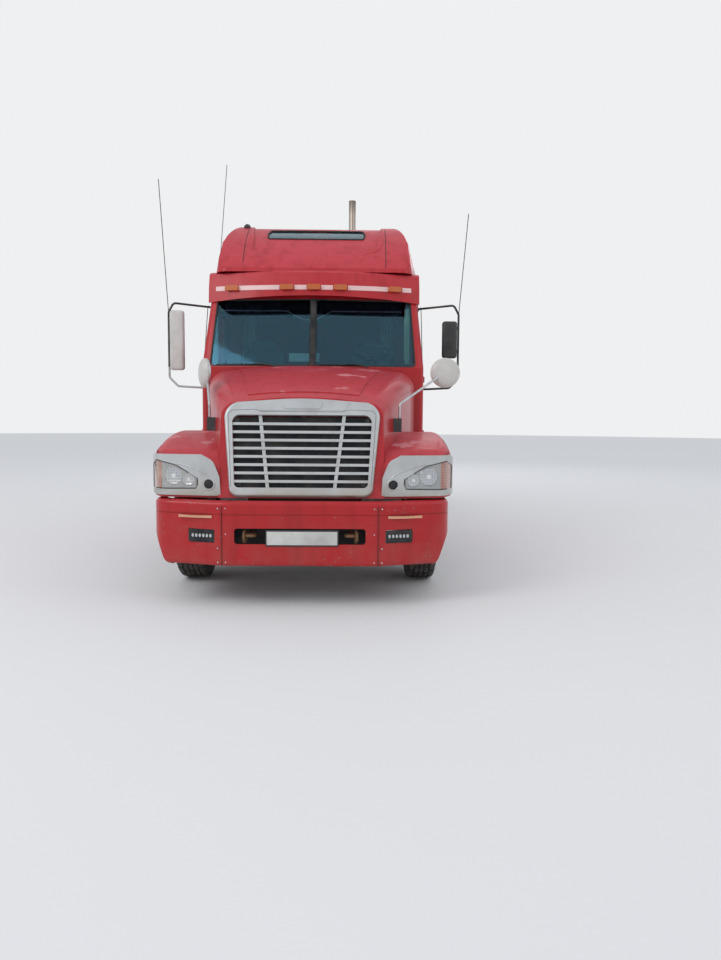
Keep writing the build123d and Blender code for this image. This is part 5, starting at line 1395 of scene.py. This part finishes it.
GAUGE = [(0, 0), (0, 0.036), (0.008, 0.038), (0.012, 0.034), (0.006, 0.030), (0.006, 0)]
SEAT_MIDDLE = 0.61
CURTAIN_STATION = 3.18


def build_interior():
    """Padded seats and bunk, curtains, gauges and the gear lever."""
    for name, side in SIDES:
        x = side * SEAT_MIDDLE
        parts = [
            cushion(f"seat_cushion_{name}", (x - 0.25, x + 0.25), (2.47, 2.95), (1.435, 1.575)),
            seat_back(f"seat_back_{name}", x),
            cushion(f"head_rest_{name}", (x - 0.15, x + 0.15), (3.035, 3.125), (2.19, 2.36), 0.01),
        ]
        for piece in parts:
            handed(piece, "chassis", "seat_fabric", angle=60)
        base = block(f"seat_base_{name}", (x - 0.17, x + 0.17), (2.56, 2.90), (1.12, 1.44), 0.03)
        handed(base, "chassis", "interior_plastic")
    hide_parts("seats_and_bunk")
    mattress = cushion("bunk_mattress", (-1.08, 1.08), (3.98, 4.76), (1.50, 1.67), 0.02)
    handed(mattress, "chassis", "seat_fabric", "bedding", 60)
    pillow = cushion("bunk_pillow", (0.55, 1.00), (4.15, 4.65), (1.66, 1.78), 0.03)
    handed(pillow, "chassis", "seat_fabric", "curtain", 60)
    base = block("bunk_base", (-1.10, 1.10), (4.0, 4.77), (1.062, 1.50), 0.01)
    handed(base, "chassis", "interior_plastic")
    for name, side in SIDES:
        width = (side * 0.88 - 0.14, side * 0.88 + 0.14)
        cloth = hung_cloth(f"bunk_curtain_{name}", width, CURTAIN_STATION, (1.30, 2.68), 6, 0.03)
        handed(cloth, "chassis", "seat_fabric", "curtain", 60)
    rail = rod("curtain_rail", [(-1.10, CURTAIN_STATION, 2.69), (1.10, CURTAIN_STATION, 2.69)], 0.009)
    handed(rail, "chassis", "silver_trim", "bright_steel")
    lever = rod("gear_lever", [(0.18, 2.42, 1.12), (0.18, 2.44, 1.52), (0.20, 2.40, 1.66)], 0.011, 0.05)
    handed(lever, "chassis", "black_plastic")
    gauges = [
        move(turned("dial", GAUGE, 24), (x, at(2.198), 1.79), (0, 0, 90)) for x in (0.47, 0.56, 0.65, 0.74)
    ]
    handed(joined("dash_gauges", gauges), "chassis", "interior_plastic", "bright_steel")


def seat_back(name, x):
    """The leaning back of a seat."""
    piece = cushion(name, (x - 0.24, x + 0.24), (2.90, 3.03), (1.56, 2.24), 0.0)
    for vertex in piece.data.vertices:
        vertex.co.y += (vertex.co.z - 1.56) * 0.115
    return piece


# Sides and back


DOOR_EDGE = ((2.03, 1.12), (2.93, 1.12), (2.93, 2.655), (2.29, 2.655), (2.03, 1.98))
BUNK_WINDOW = ((3.45, 1.96), (3.95, 1.96), (3.95, 2.33), (3.45, 2.33))
TANK_CAP = [(0, 0), (0, 0.052), (0.026, 0.052), (0.034, 0.046), (0.036, 0.0)]
RIVET_PITCH = 0.075
RIVETS = 22


def build_side_trim():
    """Handles, grab rails, seals, caps, tread on the steps and rivets along the sleeper."""
    for name, side in SIDES:
        door = f"door_{name}"
        recess = side_block(f"handle_pan_{name}", side, (1.131, 1.135), (2.76, 2.90), (1.80, 1.88), 0.0015)
        handed(recess, door, "black_plastic")
        limits = (1.135, 1.159), (2.775, 2.885), (1.826, 1.852)
        lever = side_block(f"door_handle_{name}", side, *limits, 0.008, 3)
        handed(lever, door, "silver_trim", "bright_steel")
        seal = side_loop(f"door_seal_{name}", side * 1.124, DOOR_EDGE, 0.004, 0.05)
        handed(seal, door, "black_plastic", "dark_seal")
        route = [(1.13, 2.99, 1.30), (1.19, 2.99, 1.33), (1.19, 2.99, 1.93), (1.13, 2.99, 1.96)]
        rail = rod(f"grab_rail_{name}", [(side * x, station, z) for x, station, z in route], 0.014, 0.03)
        handed(rail, "chassis", "silver_trim", "bright_steel")
        seal = side_loop(f"bunk_window_seal_{name}", side * 1.162, BUNK_WINDOW, 0.009, 0.08)
        handed(seal, "chassis", "black_plastic", "dark_seal")
        latch = side_block(f"baggage_latch_{name}", side, (1.166, 1.176), (3.70, 3.78), (1.36, 1.42), 0.004)
        handed(latch, f"baggage_door_{name}", "silver_trim", "bright_steel")
        bpy.ops.mesh.primitive_uv_sphere_add(segments=8, ring_count=4, radius=0.006)
        rivet = move(bpy.context.object, (side * 1.165, at(3.10), 2.92), size=(0.5, 1, 1))
        rivet.name = f"sleeper_rivets_{name}"
        steps = [(0, RIVET_PITCH * index, 0) for index in range(1, RIVETS)]
        steps += [(0, RIVET_PITCH * index, -1.855) for index in range(RIVETS)]
        handed(repeated(rivet, [Matrix.Translation(step) for step in steps]), "chassis", "red_paint")
        limits = (1.164, 1.172), (3.08, 4.74), (1.745, 1.775)
        moulding = side_block(f"sleeper_moulding_{name}", side, *limits, 0.003)
        handed(moulding, "chassis", "silver_trim")
        cap = move(turned(f"tank_cap_{name}", TANK_CAP, 28), (side * 0.93, at(3.35), 0.972), (0, -90, 0))
        handed(cap, "chassis", "tank_aluminium")
        treads = [
            side_block("tread", side, (1.00, 1.112), (1.97, 2.745), (0.7605, 0.7645), 0.001),
            side_block("tread", side, (1.00, 1.152), (1.97, 2.745), (0.4555, 0.4595), 0.001),
        ]
        handed(joined(f"step_treads_{name}", treads), "chassis", "tank_aluminium", "tread_plate")
        latch = side_block(f"hood_latch_{name}", side, (1.222, 1.236), (1.70, 1.765), (1.12, 1.17), 0.004)
        handed(latch, "hood", "black_plastic")


def side_loop(name, x, corners, radius, bend):
    """A closed bar round an outline of (station, z) on one side."""
    start = ((corners[0][0] + corners[1][0]) / 2, corners[0][1])
    route = [start, *corners[1:], corners[0], start]
    return rod(name, [(x, station, z) for station, z in route], radius, bend, 2)


AIR_COUPLING = [(0, 0), (0, 0.03), (0.03, 0.03), (0.05, 0.04), (0.06, 0.04), (0.06, 0)]
TRAILER_SOCKET = [(0, 0), (0, 0.036), (0.05, 0.036), (0.055, 0.03), (0.055, 0)]


def build_back():
    """Panel ribs, couplings, a work lamp, lamp faces and the fifth wheel's release bar."""
    ribs = []
    for x in (-0.82, -0.41, 0.0, 0.62, 0.95):
        ribs.append(block("rib", (x - 0.012, x + 0.012), (4.828, 4.838), (1.06, 2.95), 0.003))
    handed(joined("sleeper_ribs", ribs), "chassis", "red_paint")
    lamp = block("work_lamp", (-0.30, -0.16), (4.83, 4.89), (2.62, 2.72), 0.012)
    handed(lamp, "chassis", "black_plastic")
    face = block("work_lamp_face", (-0.288, -0.172), (4.888, 4.895), (2.632, 2.708), 0.003)
    handed(face, "chassis", "lamp_lens")
    board = block("coupling_board", (-0.72, -0.30), (4.83, 4.85), (1.44, 1.66), 0.006)
    handed(board, "chassis", "frame_paint")
    for name, profile, steps, x, slot, finish in (
        ("air_coupling_red", AIR_COUPLING, 20, -0.64, "frame_paint", "hose_red"),
        ("air_coupling_blue", AIR_COUPLING, 20, -0.51, "frame_paint", "hose_blue"),
        ("trailer_socket", TRAILER_SOCKET, 24, -0.38, "silver_trim", "bright_steel"),
    ):
        plug = move(turned(name, profile, steps), (x, at(4.85), 1.56), (0, 0, 90))
        handed(plug, "chassis", slot, finish)
    for name, side in SIDES:
        limits = (0.196, 0.324), (8.298, 8.306), (0.802, 0.908)
        face = side_block(f"tail_lamp_face_{name}", side, *limits, 0.004)
        handed(face, "chassis", "red_lens")
    bar = rod("release_bar", [(0.30, 6.80, 1.10), (0.52, 6.80, 1.10), (0.62, 6.80, 1.06)], 0.010, 0.04)
    handed(bar, "fifth_wheel", "fifth_wheel_steel", "bright_steel")


STACK_X, STACK_STATION = 0.394, 4.985
# Half width, inner and outer radius and steps of the bands.
MUFFLER_BAND = (0.02, 0.131, 0.137, 40)
STACK_BAND = (0.015, 0.0485, 0.054, 28)


def build_shield():
    """The stack's clamps, and near-black discs of painted shade where the guard round the muffler is
    perforated.
    """
    clamps = []
    for heights, (half, inner, outer, steps) in (
        ((1.62, 2.16), MUFFLER_BAND), ((2.36, 3.10, 3.80), STACK_BAND),
    ):
        for z in heights:
            band = turned("band", [(-half, inner), (-half, outer), (half, outer), (half, inner)], steps)
            clamps.append(move(band, (STACK_X, at(STACK_STATION), z), (0, 90, 0)))
    handed(joined("exhaust_clamps", clamps), "chassis", "stack_steel", "bright_steel")
    # The guard's holes are not cut: near-black discs paint the shade inside them.
    bpy.ops.mesh.primitive_cylinder_add(vertices=8, radius=0.012, depth=0.004)
    hole = move(bpy.context.object, (STACK_X, at(STACK_STATION) + 0.1315, 1.70), (90, 0, 0))
    centre = Vector((STACK_X, at(STACK_STATION), 0))
    ring = []
    for row in range(9):
        for index in range(13):
            turn = radians(-96 + 16 * index + (8 if row % 2 else 0))
            about = Matrix.Translation(centre) @ Matrix.Rotation(turn, 4, "Z") @ Matrix.Translation(-centre)
            other = twin(hole)
            other.data.transform(about @ Matrix.Translation((0, 0, row * 0.048)))
            ring.append(other)
    bpy.data.objects.remove(hole)
    handed(joined("muffler_hole_shade", ring), "chassis", "black_plastic", "radiator_black")


# Stage


SENSOR = 36.0
FOCAL_SHARE = 742.25 / 960
CAMERA_PLACE = (0.38616, -9.90777, 1.48139)
CAMERA_YAW, CAMERA_PITCH, CAMERA_ROLL = 0.01387, -0.0833, 0.00691


def photo_camera():
    """The camera at the photograph's place."""
    yaw, pitch, roll = CAMERA_YAW, CAMERA_PITCH, CAMERA_ROLL
    forward = Vector((sin(yaw) * cos(pitch), cos(yaw) * cos(pitch), sin(pitch)))
    level = Vector((cos(yaw), -sin(yaw), 0))
    upright_axis = level.cross(forward)
    right = level * cos(roll) + upright_axis * sin(roll)
    up = upright_axis * cos(roll) - level * sin(roll)
    camera_data = bpy.data.cameras.new("photo_camera")
    camera_data.sensor_fit = "VERTICAL"
    camera_data.sensor_height = SENSOR
    camera_data.lens = FOCAL_SHARE * SENSOR
    camera_data.clip_end = 200.0
    camera = bpy.data.objects.new("photo_camera", camera_data)
    bpy.context.collection.objects.link(camera)
    turn = Matrix((right, up, -forward)).transposed().to_4x4()
    camera.matrix_world = Matrix.Translation(CAMERA_PLACE) @ turn
    bpy.context.scene.camera = camera


LIT_PLACE = Vector((0, -1, 1.6))
LAMP_SIZE = 6.0


def soft_lamp(name, place, power):
    """A large soft light that faces the truck."""
    light = bpy.data.lights.new(name, "AREA")
    light.shape = "SQUARE"
    light.size = LAMP_SIZE
    light.energy = power
    lamp = bpy.data.objects.new(name, light)
    bpy.context.collection.objects.link(lamp)
    lamp.location = place
    lamp.rotation_euler = (LIT_PLACE - Vector(place)).to_track_quat("-Z", "Y").to_euler()


def build_stage():
    """Pale floor, white surroundings and soft studio light."""
    bpy.ops.mesh.primitive_circle_add(vertices=96, radius=60, fill_type="NGON", location=(0, 0, 0))
    floor = bpy.context.object
    floor.name = "studio_floor"
    finish = Finish("studio_floor", roughness=0.9)
    cloud = finish.noise(0.4) * 0.3
    finish.paint("Base Color", finish.mix(cloud, rgb(0.78, 0.78, 0.78), rgb(0.82, 0.82, 0.82)))
    floor.data.materials.append(finish.material)
    world = bpy.data.worlds.new("studio")
    bpy.context.scene.world = world
    world.use_nodes = True
    tree = world.node_tree
    light = tree.nodes["Background"]
    light.inputs["Color"].default_value = rgb(0.92, 0.95, 1.0)
    light.inputs["Strength"].default_value = 0.80
    shown = add_node(tree, "ShaderNodeBackground", None, {"Color": rgb(0.86, 0.87, 0.88)})
    rays = add_node(tree, "ShaderNodeLightPath").outputs
    through = {0: rays["Is Camera Ray"], 1: rays["Is Transmission Ray"]}
    seen = add_node(tree, "ShaderNodeMath", {"operation": "MAXIMUM"}, through)
    shares = {0: seen.outputs[0], 1: light.outputs[0], 2: shown.outputs[0]}
    both = add_node(tree, "ShaderNodeMixShader", None, shares)
    tree.links.new(both.outputs[0], tree.nodes["World Output"].inputs["Surface"])
    soft_lamp("key_light", (-8.0, -10.0, 9.0), 420.0)
    soft_lamp("fill_light", (9.0, -7.0, 7.0), 90.0)
    soft_lamp("rear_light", (3.0, 12.0, 9.0), 160.0)
    bpy.context.scene.view_settings.view_transform = "Standard"


dress_nodes()
build_wheels()
build_bumper_trim()
build_grille()
build_lamps()
build_fender_edges()
build_windshield()
build_visor_trim()
build_roof_trim()
build_mirrors()
build_interior()
build_side_trim()
build_back()
build_shield()
build_stage()
photo_camera()
